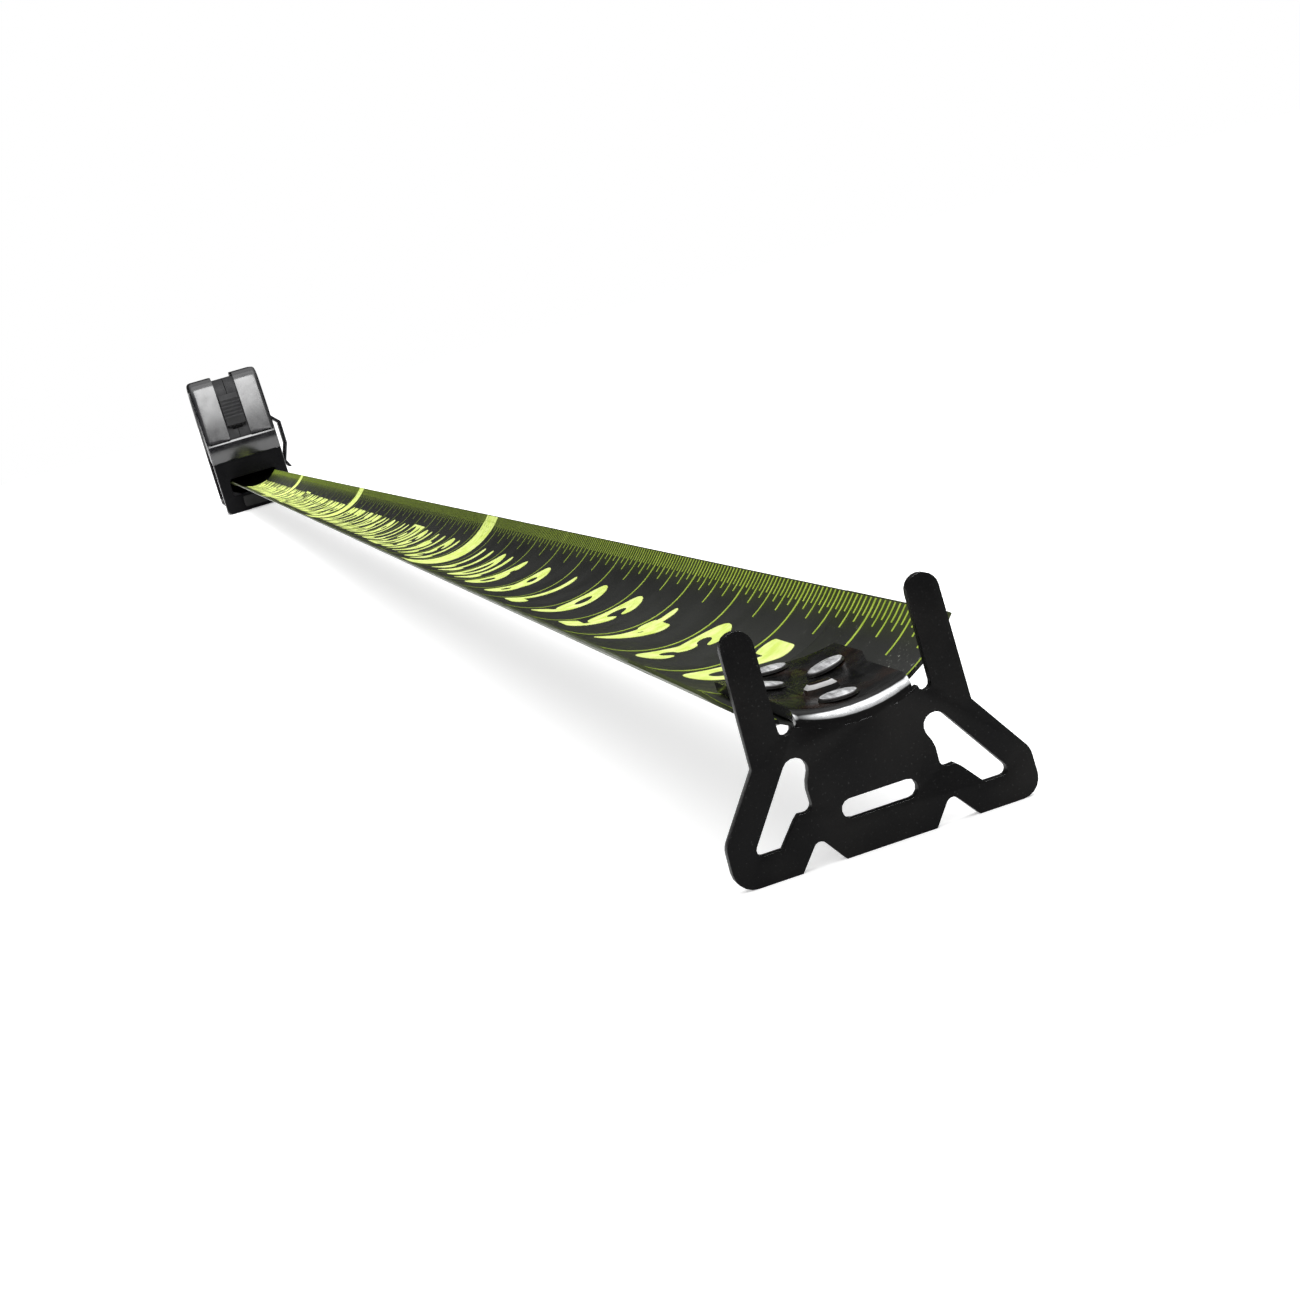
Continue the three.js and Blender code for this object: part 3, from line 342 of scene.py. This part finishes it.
slots = {
    "shell": moulded("shell_abs", (0.007, 0.007, 0.008), (0.013, 0.013, 0.014), 0.52, 2600, 0.03 * MM,
                     Specular_IOR_Level=0.2),
    "rail": moulded("rail_gloss", (0.006, 0.006, 0.007), (0.011, 0.011, 0.012), 0.2, 900, 0.004 * MM,
                    Specular_IOR_Level=0.5, Coat_Weight=0.6, Coat_Roughness=0.13),
    # The trim's black is darker and duller than the shell's: black plastic, deepened as painted shade for the
    # shadowed mouth under the chin.
    "trim": moulded("trim_plastic_painted_shade", (0.0025, 0.0025, 0.003), (0.005, 0.005, 0.0055), 0.48, 1800, 0.02 * MM,
                    Specular_IOR_Level=0.05),
    "rubber": moulded("base_rubber", (0.012, 0.012, 0.012), (0.02, 0.02, 0.019), 0.82, 1500, 0.05 * MM,
                      Specular_IOR_Level=0.25),
    "lock": moulded("lock_rubber", (0.010, 0.010, 0.011), (0.018, 0.018, 0.019), 0.62, 2000, 0.03 * MM,
                    Specular_IOR_Level=0.25),
    "nylon": moulded("dark_nylon", (0.03, 0.03, 0.033), (0.046, 0.046, 0.05), 0.5, 1400, 0.02 * MM),
    "inner_plastic": moulded("grey_acetal", (0.06, 0.06, 0.068), (0.09, 0.09, 0.1), 0.42, 1200, 0.015 * MM),
    "badge": moulded("badge_plastic", (0.022, 0.022, 0.024), (0.036, 0.036, 0.039), 0.34, 1600, 0.02 * MM),
    "spring_steel": brushed("spring_strip", (0.22, 0.23, 0.25), (0.45, 0.47, 0.5), 0.32, (1, 0.05, 1)),
    "clip": brushed("clip_steel", (0.016, 0.016, 0.018), (0.06, 0.06, 0.065), 0.36, (1, 1, 0.06)),
    "screw": brushed("zinc_screw", (0.16, 0.165, 0.175), (0.32, 0.33, 0.35), 0.34, (1, 1, 0.3)),
    "blade": blade_finish(),
    "hook": hook_finish(),
    "rivet": rivet_finish(),
}
lime = ink("lime_ink", LIME_DARK, LIME_LIGHT)
lime_line = ink("lime_line_ink", LINE_DARK, LINE_LIGHT, LINE_FAR)
tab_coat = tab_finish()


# ---------------------------------------------------------------- carried-over parts with eased edges
SAME_POINT = 0.002 * MM
FLAT_ANGLE = 0.6  # degrees: faces that meet at less are one flat face
CORNER_ANGLE = 34  # degrees: edges that are sharper get rounded
CORNER_SEGMENTS = 3
USUAL_EASE = 0.25 * MM
EASE = {  # mm: how far the edges of the other nodes are rounded
    "case_left": 0.5, "case_right": 0.5, "rail_left": 0.35, "rail_right": 0.35, "chin_plate": 0.2,
    "mouth_frame": 0.45, "hook_bumper": 0.4, "base_pad": 0.5, "thumb_lock": 0.35, "belt_clip": 0.35,
    "side_badge": 0.3, "hook_plate": 0.14, "hook_backplate": 0.12, "power_spring": 0.08,
    "detent_spring": 0.08, "blade_tip": 0.08, "blade_coil": 0.3,
}


def slot_of(node):
    return next(row["material_slot"] for row in frame["record"]["subparts"] if row["node"] == node)


def body_of(node):
    bodies = frame["record"]["behaviour"]["bodies"]
    return next(body for body, members in bodies.items() if node in members)


def eased(node, width):
    """A copy of a node with flat faces whole again, every corner rounded, and smooth curved walls."""
    mesh = bpy.data.meshes.new(node + "_part")
    shape = bmesh.new()
    shape.from_mesh(frame["nodes"][node].data)
    bmesh.ops.remove_doubles(shape, verts=shape.verts, dist=SAME_POINT)
    bmesh.ops.dissolve_limit(shape, angle_limit=math.radians(FLAT_ANGLE),
                             verts=shape.verts, edges=shape.edges)
    bmesh.ops.recalc_face_normals(shape, faces=shape.faces)
    shape.to_mesh(mesh)
    shape.free()
    mesh.materials.clear()
    mesh.materials.append(slots[slot_of(node)])
    piece = bpy.data.objects.new(node + "_part", mesh)
    bpy.context.scene.collection.objects.link(piece)
    corner = piece.modifiers.new("corner", "BEVEL")
    corner.width = width
    corner.segments = CORNER_SEGMENTS
    corner.limit_method = "ANGLE"
    corner.angle_limit = math.radians(CORNER_ANGLE)
    corner.use_clamp_overlap = True
    corner.harden_normals = False
    apply_modifiers(piece)
    shade(piece)
    return piece


def dress(node, piece):
    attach(piece, body_of(node))
    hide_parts(node)


OWN_SHAPE = {"blade_span", "hook_rivet_1", "hook_rivet_2", "hook_rivet_3", "hook_rivet_4"}
for node in sorted(frame["nodes"]):
    if node not in OWN_SHAPE:
        dress(node, eased(node, EASE[node] * MM if node in EASE else USUAL_EASE))


FOLD_BACK = 1.2 * MM  # the hook's tab starts this far behind its inner face


def gloss_the_tab():
    """The tab of the hook is glossier than its plate."""
    plate = bpy.data.objects["hook_plate_part"]
    plate.data.materials.append(tab_coat)
    for face in plate.data.polygons:
        if face.center.x < hook_x - FOLD_BACK:
            face.material_index = 1


gloss_the_tab()


# ---------------------------------------------------------------- blade
MIDDLE_AHEAD = 1.25  # the blade's middle drops this much faster than its edges curl
FLATTEST = 1e-4
SKIN_ACROSS = 36  # faces across the blade, along its opening run and along its straight run
SKIN_OPENING = 28
SKIN_STRAIGHT = 44
SKIN_EDGE = 0.12 * MM


def blade_point(x, s, lift=0.0):
    """The point at x, s along the arc from the blade's middle, and `lift` above its upper face."""
    curl = smooth((x - span_start) / (open_x - span_start))
    bend = max(curl, FLATTEST) / BLADE_RADIUS
    middle = coil_z + (blade_z - coil_z) * min(1.0, MIDDLE_AHEAD * curl)
    radius = 1 / bend - lift
    angle = s * bend
    return Vector((x, radius * math.sin(angle), middle + 1 / bend - radius * math.cos(angle)))


def blade_skin():
    """The drawn-out blade: flat under the coil, curling up as it goes through the mouth, then straight."""
    half = BLADE_WIDTH / 2
    flat = half - SKIN_EDGE
    section = [(-flat + 2 * flat * i / SKIN_ACROSS, 0.0) for i in range(SKIN_ACROSS + 1)]
    top_count = len(section)
    section.append((half, -0.5 * BLADE_THICKNESS))
    section += [(s, -BLADE_THICKNESS) for s, _ in reversed(section[:top_count])]
    section.append((-half, -0.5 * BLADE_THICKNESS))
    stations = [span_start + (open_x - span_start) * k / SKIN_OPENING for k in range(SKIN_OPENING)]
    stations += [open_x + (span_end - open_x) * k / SKIN_STRAIGHT for k in range(SKIN_STRAIGHT + 1)]
    vertices = [blade_point(x, s, lift) for x in stations for s, lift in section]
    count = len(section)
    faces = []
    for k in range(len(stations) - 1):
        for i in range(count):
            j = (i + 1) % count
            faces.append((k * count + i, (k + 1) * count + i, (k + 1) * count + j, k * count + j))
    for base, flip in ((0, False), ((len(stations) - 1) * count, True)):
        for face in end_cap(count):
            loop = [base + i for i in face]
            faces.append(tuple(reversed(loop)) if flip else tuple(loop))
    piece = link_mesh("blade_skin", vertices, faces, slots["blade"])
    tidy_normals(piece)
    shade(piece, 40)
    return piece


def end_cap(count):
    """Faces that close one end of the skin, by the places of its section's points."""
    last = SKIN_ACROSS
    low = [2 * last + 2 - i for i in range(last + 1)]
    cap = [(i, i + 1, low[i + 1], low[i]) for i in range(last)]
    return cap + [(last, last + 1, low[last]), (0, low[0], count - 1)]


def squash_to_reel(piece):
    """Gives the piece a mesh of its own."""
    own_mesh(piece)


skin = blade_skin()
dress("blade_span", skin)
squash_to_reel(skin)


# ---------------------------------------------------------------- print
INK_TOP = 0.05 * MM
INK_LOW = -0.05 * MM


class Print:
    """Marks on the blade. Each is a thin closed slab that follows the blade's curve."""

    def __init__(self):
        self.vertices = []
        self.faces = []

    def slab(self, points, faces):
        """`points` are (x, s) in the plane of the flat blade, `faces` their polygons."""
        base = len(self.vertices)
        count = len(points)
        for lift in (INK_TOP, INK_LOW):
            self.vertices += [blade_point(x, s, lift) for x, s in points]
        sides = {}
        for face in faces:
            for a, b in zip(face, face[1:] + face[:1]):
                if (b, a) in sides:
                    del sides[(b, a)]
                else:
                    sides[(a, b)] = True
        for face in faces:
            self.faces.append([base + i for i in face])
            self.faces.append([base + count + i for i in reversed(face)])
        for a, b in sides:
            self.faces.append([base + b, base + a, base + count + a, base + count + b])

    def ladder(self, rungs):
        """A strip through rungs (x0, x1, s)."""
        points = [(x, s) for x0, x1, s in rungs for x in (x0, x1)]
        self.slab(points, [[2 * i, 2 * i + 1, 2 * i + 3, 2 * i + 2] for i in range(len(rungs) - 1)])

    def bar(self, x0, x1, s0, s1, step=1.2 * MM):
        """A straight bar across the blade, from s0 to s1."""
        rows = max(1, round(abs(s1 - s0) / step))
        self.ladder([(x0, x1, s0 + (s1 - s0) * i / rows) for i in range(rows + 1)])

    def end_line(self, s0, s1, x0, x1, width, rows=8):
        """A thin line across the blade that runs from (x0, s0) to (x1, s1)."""
        ends = [x0 + (x1 - x0) * i / rows for i in range(rows + 1)]
        self.ladder([(x - width, x, s0 + (s1 - s0) * i / rows) for i, x in enumerate(ends)])

    def figure(self, distance, x_low, x_high, s_low, s_high, cell=0.4 * MM):
        """The area where distance(x, s) is below 0, cut from a grid along its true edge."""
        columns = math.ceil((x_high - x_low) / cell)
        rows = math.ceil((s_high - s_low) / cell)
        value = {}
        for i in range(columns + 1):
            for j in range(rows + 1):
                value[i, j] = distance(x_low + i * cell, s_low + j * cell)
        points = []
        known = {}

        def point(key, x, s):
            if key not in known:
                known[key] = len(points)
                points.append((x, s))
            return known[key]

        faces = []
        for i in range(columns):
            for j in range(rows):
                corners = [(i, j), (i + 1, j), (i + 1, j + 1), (i, j + 1)]
                if all(value[c] >= 0 for c in corners):
                    continue
                face = []
                for a, b in zip(corners, corners[1:] + corners[:1]):
                    if value[a] < 0:
                        face.append(point(a, x_low + a[0] * cell, s_low + a[1] * cell))
                    if (value[a] < 0) != (value[b] < 0):
                        share = value[a] / (value[a] - value[b])
                        x = x_low + (a[0] + (b[0] - a[0]) * share) * cell
                        s = s_low + (a[1] + (b[1] - a[1]) * share) * cell
                        face.append(point((min(a, b), max(a, b)), x, s))
                if len(face) >= 3:
                    faces.append(face)
        self.slab(points, faces)

    def piece(self, name, material, slot="blade"):
        made = link_mesh(name, self.vertices, self.faces, material)
        tidy_normals(made)
        shade(made, 30)
        return made


# ---- figures: strokes of one width with round ends, in a box FIGURE_WIDE by 1, with Y up
FIGURE_HEIGHT = 12.2 * MM
FIGURE_WIDE = 0.80
FIGURE_STROKE = 0.116  # half of a stroke's width, as a share of the height
FIGURE_PITCH = 0.41 * INCH
FIGURE_GAP = 0.07 * INCH  # the last figure ends this far before its inch line
FIGURE_FOOT = 6.5 * MM  # the figures stand here, counted from the blade's middle towards the ticks

NUMBER_MARGIN = 1.1 * MM  # round a number, for its grid
BOX_MARGIN = 0.6 * NUMBER_MARGIN  # round a number that is reversed out of a box
figure_width = FIGURE_WIDE * FIGURE_HEIGHT
FIGURE_LEAD = 0.2 * (FIGURE_PITCH - figure_width)  # a figure's cell starts this far before it


def bow(cx, cy, rx, ry, start, end, steps=14):
    """Part of an ellipse as a line of points, by degrees."""
    turns = [math.radians(start + (end - start) * k / steps) for k in range(steps + 1)]
    return [(cx + rx * math.cos(a), cy + ry * math.sin(a)) for a in turns]


def figure_strokes():
    """The lines that each figure is drawn along."""
    left, right = FIGURE_STROKE, FIGURE_WIDE - FIGURE_STROKE
    bottom, top = FIGURE_STROKE, 1 - FIGURE_STROKE
    middle, wide = FIGURE_WIDE / 2, (right - left) / 2
    six = [bow(middle, 0.345, wide, 0.24, 0, 360, 20),
           bow(right - 0.06, 0.40, right - 0.06 - left, 0.49, 98, 186)]
    return {
        "0": [bow(middle, 0.5, wide, 0.395, 0, 360, 24)],
        "1": [[(0.2, 0.72), (0.44, top), (0.44, bottom)]],
        "2": [bow(middle, 0.66, wide, 0.235, 165, -38) + [(left, bottom), (right, bottom)]],
        "3": [bow(middle - 0.02, 0.695, wide - 0.03, 0.2, 150, -90),
              bow(middle - 0.02, 0.30, wide, 0.195, 90, -155)],
        "4": [[(0.56, bottom), (0.56, top), (left - 0.03, 0.36), (right + 0.02, 0.36)]],
        "5": [[(right - 0.02, top), (left + 0.07, top), (left + 0.03, 0.52)],
              bow(middle - 0.02, 0.345, wide, 0.24, 128, -150)],
        "6": six,
        "7": [[(left, top), (right, top), (0.32, bottom)]],
        "8": [bow(middle, 0.70, wide - 0.05, 0.195, 0, 360, 20), bow(middle, 0.305, wide, 0.2, 0, 360, 20)],
        "9": [[(FIGURE_WIDE - x, 1 - y) for x, y in line] for line in six],
    }


FIGURES = figure_strokes()


def stroke_distance(px, py, lines):
    """How far a point of the figure's box is outside its strokes."""
    nearest = 1e9
    for line in lines:
        for (ax, ay), (bx, by) in zip(line, line[1:]):
            dx, dy = bx - ax, by - ay
            share = ((px - ax) * dx + (py - ay) * dy) / max(dx * dx + dy * dy, 1e-12)
            share = min(max(share, 0.0), 1.0)
            nearest = min(nearest, math.hypot(px - ax - share * dx, py - ay - share * dy))
    return nearest - FIGURE_STROKE


def figure_area(text, inch):
    """The box of a number that ends before its inch line, and its signed distance.

    The figures read from the hook towards the case, with their feet to the ticks."""
    end = hook_x - inch * INCH + FIGURE_GAP
    start = end + (len(text) - 1) * FIGURE_PITCH + figure_width

    def distance(x, s):
        from_start = start - x
        index = min(len(text) - 1, max(0, int((from_start + FIGURE_LEAD) // FIGURE_PITCH)))
        px = (from_start - index * FIGURE_PITCH) / FIGURE_HEIGHT
        py = (FIGURE_FOOT - s) / FIGURE_HEIGHT
        return stroke_distance(px, py, FIGURES[text[index]])

    return distance, end, start


def add_number(sheet, inch, boxed):
    text = str(inch)
    distance, low, high = figure_area(text, inch)
    s_low = FIGURE_FOOT - FIGURE_HEIGHT
    area = (low - NUMBER_MARGIN, high + NUMBER_MARGIN, s_low - NUMBER_MARGIN, FIGURE_FOOT + NUMBER_MARGIN)
    if not boxed:
        sheet.figure(distance, *area)
        return

    def reversed_out(x, s):
        inside = max(low - BOX_MARGIN - x, x - high - BOX_MARGIN,
                     s_low - BOX_MARGIN - s, s - FIGURE_FOOT - BOX_MARGIN)
        return max(inside / FIGURE_HEIGHT, -distance(x, s))

    sheet.figure(reversed_out, *area)


# ---- the scale
TICK_WIDTH = 0.42 * MM
LINE_WIDTH = 0.55 * MM
EDGE_MARGIN = 0.2 * MM
END_LINE = 0.3 * MM  # the bare line along the blade's end
END_LINE_SHY = (0.1 * MM, 0.05 * MM + 0.9 * END_SLANT)  # behind the blade's end, at the tongue and the edge
TONGUE_CLEAR = 1.3 * MM  # the bare line starts this far beside the hook's tongue
TICK_END = {16: 11.9 * MM, 8: 11.0 * MM, 4: 10.0 * MM, 2: 8.4 * MM}  # distance from the blade's middle
PARTS = 16  # ticks to the inch
FIRST_TICK = 3
FIRST_NUMBER = 2
STUD_EVERY = 16  # inches: these numbers are reversed out of a box
FOOT = 12
FOOT_BAR = (0.14 * INCH, 0.74 * INCH)  # from the foot's line towards the hook
half_width = BLADE_WIDTH / 2 - EDGE_MARGIN


def tick_end(sixteenth):
    """The coarsest division that the tick belongs to sets its length."""
    return next(TICK_END[parts] for parts in sorted(TICK_END) if sixteenth % (PARTS // parts) == 0)


def scale_prints():
    """The sheets of print: lines and figures, each for the drawn-out blade and for its tip."""
    sheets = {(kind, tip): Print() for kind in ("lines", "figures") for tip in (False, True)}
    for sixteenth in range(FIRST_TICK, int((hook_x - mouth_x) / INCH * PARTS)):
        x = hook_x - sixteenth * INCH / PARTS
        sheet = sheets["lines", x > span_end]
        if sixteenth % PARTS == 0:
            sheet.bar(x - LINE_WIDTH / 2, x + LINE_WIDTH / 2, -half_width, half_width)
        else:
            sheet.bar(x - TICK_WIDTH / 2, x + TICK_WIDTH / 2, tick_end(sixteenth % PARTS), half_width)
    at_tongue, at_edge = (hook_x - END_BACK - shy for shy in END_LINE_SHY)
    for side in (-1, 1):
        sheets["lines", True].end_line(side * (TONGUE_HALF + TONGUE_CLEAR), side * half_width,
                                       at_tongue, at_edge, END_LINE)
    for inch in range(FIRST_NUMBER, int((hook_x - mouth_x) / INCH) + 1):
        sheet = sheets["figures", False]
        if inch % FOOT == 0:
            x = hook_x - inch * INCH
            sheet.bar(x + FOOT_BAR[0], x + FOOT_BAR[1], -half_width, half_width)
        else:
            add_number(sheet, inch, inch % STUD_EVERY == 0)
    return sheets


def print_scale():
    for (kind, tip), sheet in scale_prints().items():
        if not sheet.faces:
            continue
        material = lime_line if kind == "lines" else lime
        piece = sheet.piece("print_{}_{}".format(kind, "tip" if tip else "span"), material)
        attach(piece, "blade_end" if tip else "case")
        if not tip:
            squash_to_reel(piece)


print_scale()


# ---------------------------------------------------------------- rivets
RIVETS = 4
RIVET_STEPS = 48
SHANK_RADIUS = 0.9 * MM
HEAD_HEIGHT = 0.6 * MM
HEAD_SUNK = 0.25 * MM  # the heads sit this much lower than the model's, down on the tab
HEAD_CHAMFER = 0.12 * MM
CROWN_SHARE = 0.8  # radius of the crown, as a share of the head's
CROWN_RISE = 0.14 * MM
CROWN_STEPS = 4
SHOULDER = 0.22 * MM
SHOULDER_SHARE = 0.97  # outer radius of the rounded shoulder, as a share of the head's
SHOULDER_STEPS = 6
TAIL_HEIGHT = 0.5 * MM
TAIL_SHARES = (0.62, 0.8, 0.82)  # radii of the peened tail from its end up, as shares of the head's


def rivet_profile(head_radius, head_top, tail):
    """(radius, height) from the tail's end over the shank to the crown's top."""
    rim = head_top - HEAD_HEIGHT
    end, side, inner = (share * head_radius for share in TAIL_SHARES)
    profile = [(0, tail), (end, tail), (side, tail + TAIL_HEIGHT / 2), (inner, tail + TAIL_HEIGHT),
               (SHANK_RADIUS, tail + TAIL_HEIGHT), (SHANK_RADIUS, rim),
               (head_radius - HEAD_CHAMFER, rim), (head_radius, rim + HEAD_CHAMFER)]
    crown = CROWN_SHARE * head_radius
    shoulder = head_top - CROWN_RISE - SHOULDER
    for k in range(SHOULDER_STEPS + 1):
        turn = math.pi / 2 * k / SHOULDER_STEPS
        profile.append((crown + (SHOULDER_SHARE - CROWN_SHARE) * head_radius * math.cos(turn),
                        shoulder + SHOULDER * math.sin(turn)))
    for k in range(1, CROWN_STEPS + 1):
        out = 1 - k / CROWN_STEPS
        profile.append((crown * out, head_top - CROWN_RISE * out ** 2))
    return profile


def turned(profile):
    """Vertices and faces of a profile turned round Z. It starts and ends on the axis."""
    vertices, faces, rings = [], [], []
    for radius, height in profile:
        steps = RIVET_STEPS if radius else 1
        rings.append(list(range(len(vertices), len(vertices) + steps)))
        for i in range(steps):
            angle = 2 * math.pi * i / RIVET_STEPS
            vertices.append(Vector((radius * math.cos(angle), radius * math.sin(angle), height)))
    for lower, upper in zip(rings, rings[1:]):
        for i in range(RIVET_STEPS):
            j = (i + 1) % RIVET_STEPS
            if len(lower) == 1:
                faces.append((lower[0], upper[j], upper[i]))
            elif len(upper) == 1:
                faces.append((lower[i], lower[j], upper[0]))
            else:
                faces.append((lower[i], lower[j], upper[j], upper[i]))
    return vertices, faces


def add_rivet(node):
    """A rivet set square to the curved tab: steep sides, a soft rim and a low crown."""
    low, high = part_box(node)
    centre = (low + high) / 2
    angle = math.asin(max(-1.0, min(1.0, centre.y / BLADE_RADIUS)))
    axis = Vector((0, -math.sin(angle), math.cos(angle)))
    base = Vector((centre.x, 0, blade_z + BLADE_RADIUS)) - BLADE_RADIUS * axis
    offsets = [vertex.co - base for vertex in frame["nodes"][node].data.vertices]
    heights = [offset.dot(axis) for offset in offsets]
    head_radius = max((offset - height * axis).length for offset, height in zip(offsets, heights))
    vertices, faces = turned(rivet_profile(head_radius, max(heights) - HEAD_SUNK, min(heights)))
    place = Matrix.Translation(base) @ Matrix.Rotation(angle, 4, "X")
    piece = link_mesh(node + "_part", [place @ v for v in vertices], faces, slots["rivet"])
    tidy_normals(piece)
    shade(piece, 40)
    dress(node, piece)


for number in range(1, RIVETS + 1):
    add_rivet(f"hook_rivet_{number}")


# ---------------------------------------------------------------- stage, light and camera
FLOOR_REACH = 30.0
FLOOR_GLOW = 0.35  # keeps the floor near white where it is in shade
FLOOR_LOW = (0.93, 0.93, 0.93)
FLOOR_HIGH = (0.96, 0.96, 0.96)


def add_floor():
    """A pale floor that goes on far past the view."""
    corners = [(x * FLOOR_REACH, y * FLOOR_REACH, 0) for x, y in ((-1, -1), (1, -1), (1, 1), (-1, 1))]
    pale = Nodes("floor_paint", Roughness=0.9, Specular_IOR_Level=0.0, Emission_Color=(1, 1, 1, 1),
                 Emission_Strength=FLOOR_GLOW)
    pale.colour(pale.blend(pale.spread(pale.noise(3), 0.3, 0.7), FLOOR_LOW, FLOOR_HIGH))
    floor = link_mesh("floor", corners, [(0, 1, 2, 3)], pale.material)


def add_softbox(name, where, target, wide, tall, power):
    data = bpy.data.lights.new(name, "AREA")
    data.shape = "RECTANGLE"
    data.size, data.size_y = wide, tall
    data.energy = power
    light = bpy.data.objects.new(name, data)
    light.location = where
    light.rotation_euler = (Vector(target) - Vector(where)).to_track_quat("-Z", "Y").to_euler()
    light.visible_camera = False
    bpy.context.scene.collection.objects.link(light)


FLAGS_RISE = (0.2, 1.0)  # reflections see the room brighten between these heights of the view direction
FLAGS_STRENGTH = (0.015, 1.0)


def add_world():
    """A white room. In reflections it is dark round the horizon, as black flags round a table make it."""
    world = bpy.data.worlds.new("studio")
    bpy.context.scene.world = world
    world.use_nodes = True
    tree = world.node_tree
    room = tree.nodes["Background"]
    room.inputs["Color"].default_value = (1, 1, 1, 1)
    flags = tree.nodes.new("ShaderNodeBackground")
    place = tree.nodes.new("ShaderNodeTexCoord")
    split = tree.nodes.new("ShaderNodeSeparateXYZ")
    rise = tree.nodes.new("ShaderNodeMapRange")
    rise.interpolation_type = "SMOOTHSTEP"
    for socket, value in zip(("From Min", "From Max", "To Min", "To Max"), FLAGS_RISE + FLAGS_STRENGTH):
        rise.inputs[socket].default_value = value
    ray = tree.nodes.new("ShaderNodeLightPath")
    mix = tree.nodes.new("ShaderNodeMixShader")
    for source, target in (
        (place.outputs["Generated"], split.inputs["Vector"]),
        (split.outputs["Z"], rise.inputs["Value"]),
        (rise.outputs["Result"], flags.inputs["Strength"]),
        (ray.outputs["Is Glossy Ray"], mix.inputs[0]),
        (room.outputs["Background"], mix.inputs[1]),
        (flags.outputs["Background"], mix.inputs[2]),
        (mix.outputs["Shader"], tree.nodes["World Output"].inputs["Surface"]),
    ):
        tree.links.new(source, target)


CAMERA_AHEAD = 203 * MM  # past the hook's inner face
CAMERA_ASIDE = -53.7 * MM
CAMERA_ABOVE = 41.9 * MM  # above the blade's middle
camera_place = Vector((hook_x + CAMERA_AHEAD, CAMERA_ASIDE, blade_z + CAMERA_ABOVE))

RAIL_GLEAM_Z = 65 * MM  # the rails gleam above this height
RAIL_BOX_AWAY = 0.6
RAIL_BOX_WIDE = 0.36
RAIL_BOX_TALL = 0.6
RAIL_BOX_POWER = 5.5


def add_rail_softbox():
    """A softbox whose lower edge the leaned rails mirror to the photo's view, at the gleam's height."""
    lock = joints["lock_slide"]["axis"]
    lean = Vector((-lock[2], 0, lock[0]))  # square to the channel that the lock slides along
    rise = RAIL_GLEAM_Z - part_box("chin_plate")[HIGH].z
    edge = Vector((mouth_x - rise * lean.z / lean.x, 0, RAIL_GLEAM_Z))
    away = (edge - camera_place).normalized().reflect(lean)
    up = Vector((-away.z, 0, away.x)).normalized()
    middle = edge + away * RAIL_BOX_AWAY + up * RAIL_BOX_TALL / 2
    add_softbox("softbox_case", middle, middle - away, RAIL_BOX_WIDE, RAIL_BOX_TALL, RAIL_BOX_POWER)


def add_lights():
    middle_x = (mouth_x + hook_x) / 2
    add_softbox("softbox_top", (middle_x, 0, 1.4), (middle_x, 0, 0), wide=2.4, tall=1.6, power=10)
    add_softbox("softbox_hook", (hook_x - 0.25, 0.3, 0.6), (hook_x, 0, 0), wide=0.5, tall=0.4, power=2.0)
    add_rail_softbox()


CAMERA_YAW = 169.61
CAMERA_PITCH = -8.26
CAMERA_ROLL = 16.12
CAMERA_LENS = 64.5
CAMERA_SHIFT_Y = -0.003


def add_camera():
    yaw, pitch, roll = (math.radians(a) for a in (CAMERA_YAW, CAMERA_PITCH, CAMERA_ROLL))
    forward = Vector((math.cos(pitch) * math.cos(yaw), math.cos(pitch) * math.sin(yaw), math.sin(pitch)))
    level = forward.cross(Vector((0, 0, 1))).normalized()
    upright = level.cross(forward)
    right_hand = level * math.cos(roll) - upright * math.sin(roll)
    up = right_hand.cross(forward)
    turn = Matrix((right_hand, up, -forward)).transposed().to_4x4()
    data = bpy.data.cameras.new("camera")
    data.sensor_width = 36
    data.lens = CAMERA_LENS
    data.shift_y = CAMERA_SHIFT_Y
    data.clip_start, data.clip_end = 0.01, 100
    camera = bpy.data.objects.new("camera", data)
    camera.matrix_world = Matrix.Translation(camera_place) @ turn
    bpy.context.scene.collection.objects.link(camera)
    bpy.context.scene.camera = camera


add_floor()
add_world()
add_lights()
add_camera()
bpy.context.scene.view_settings.view_transform = "Standard"
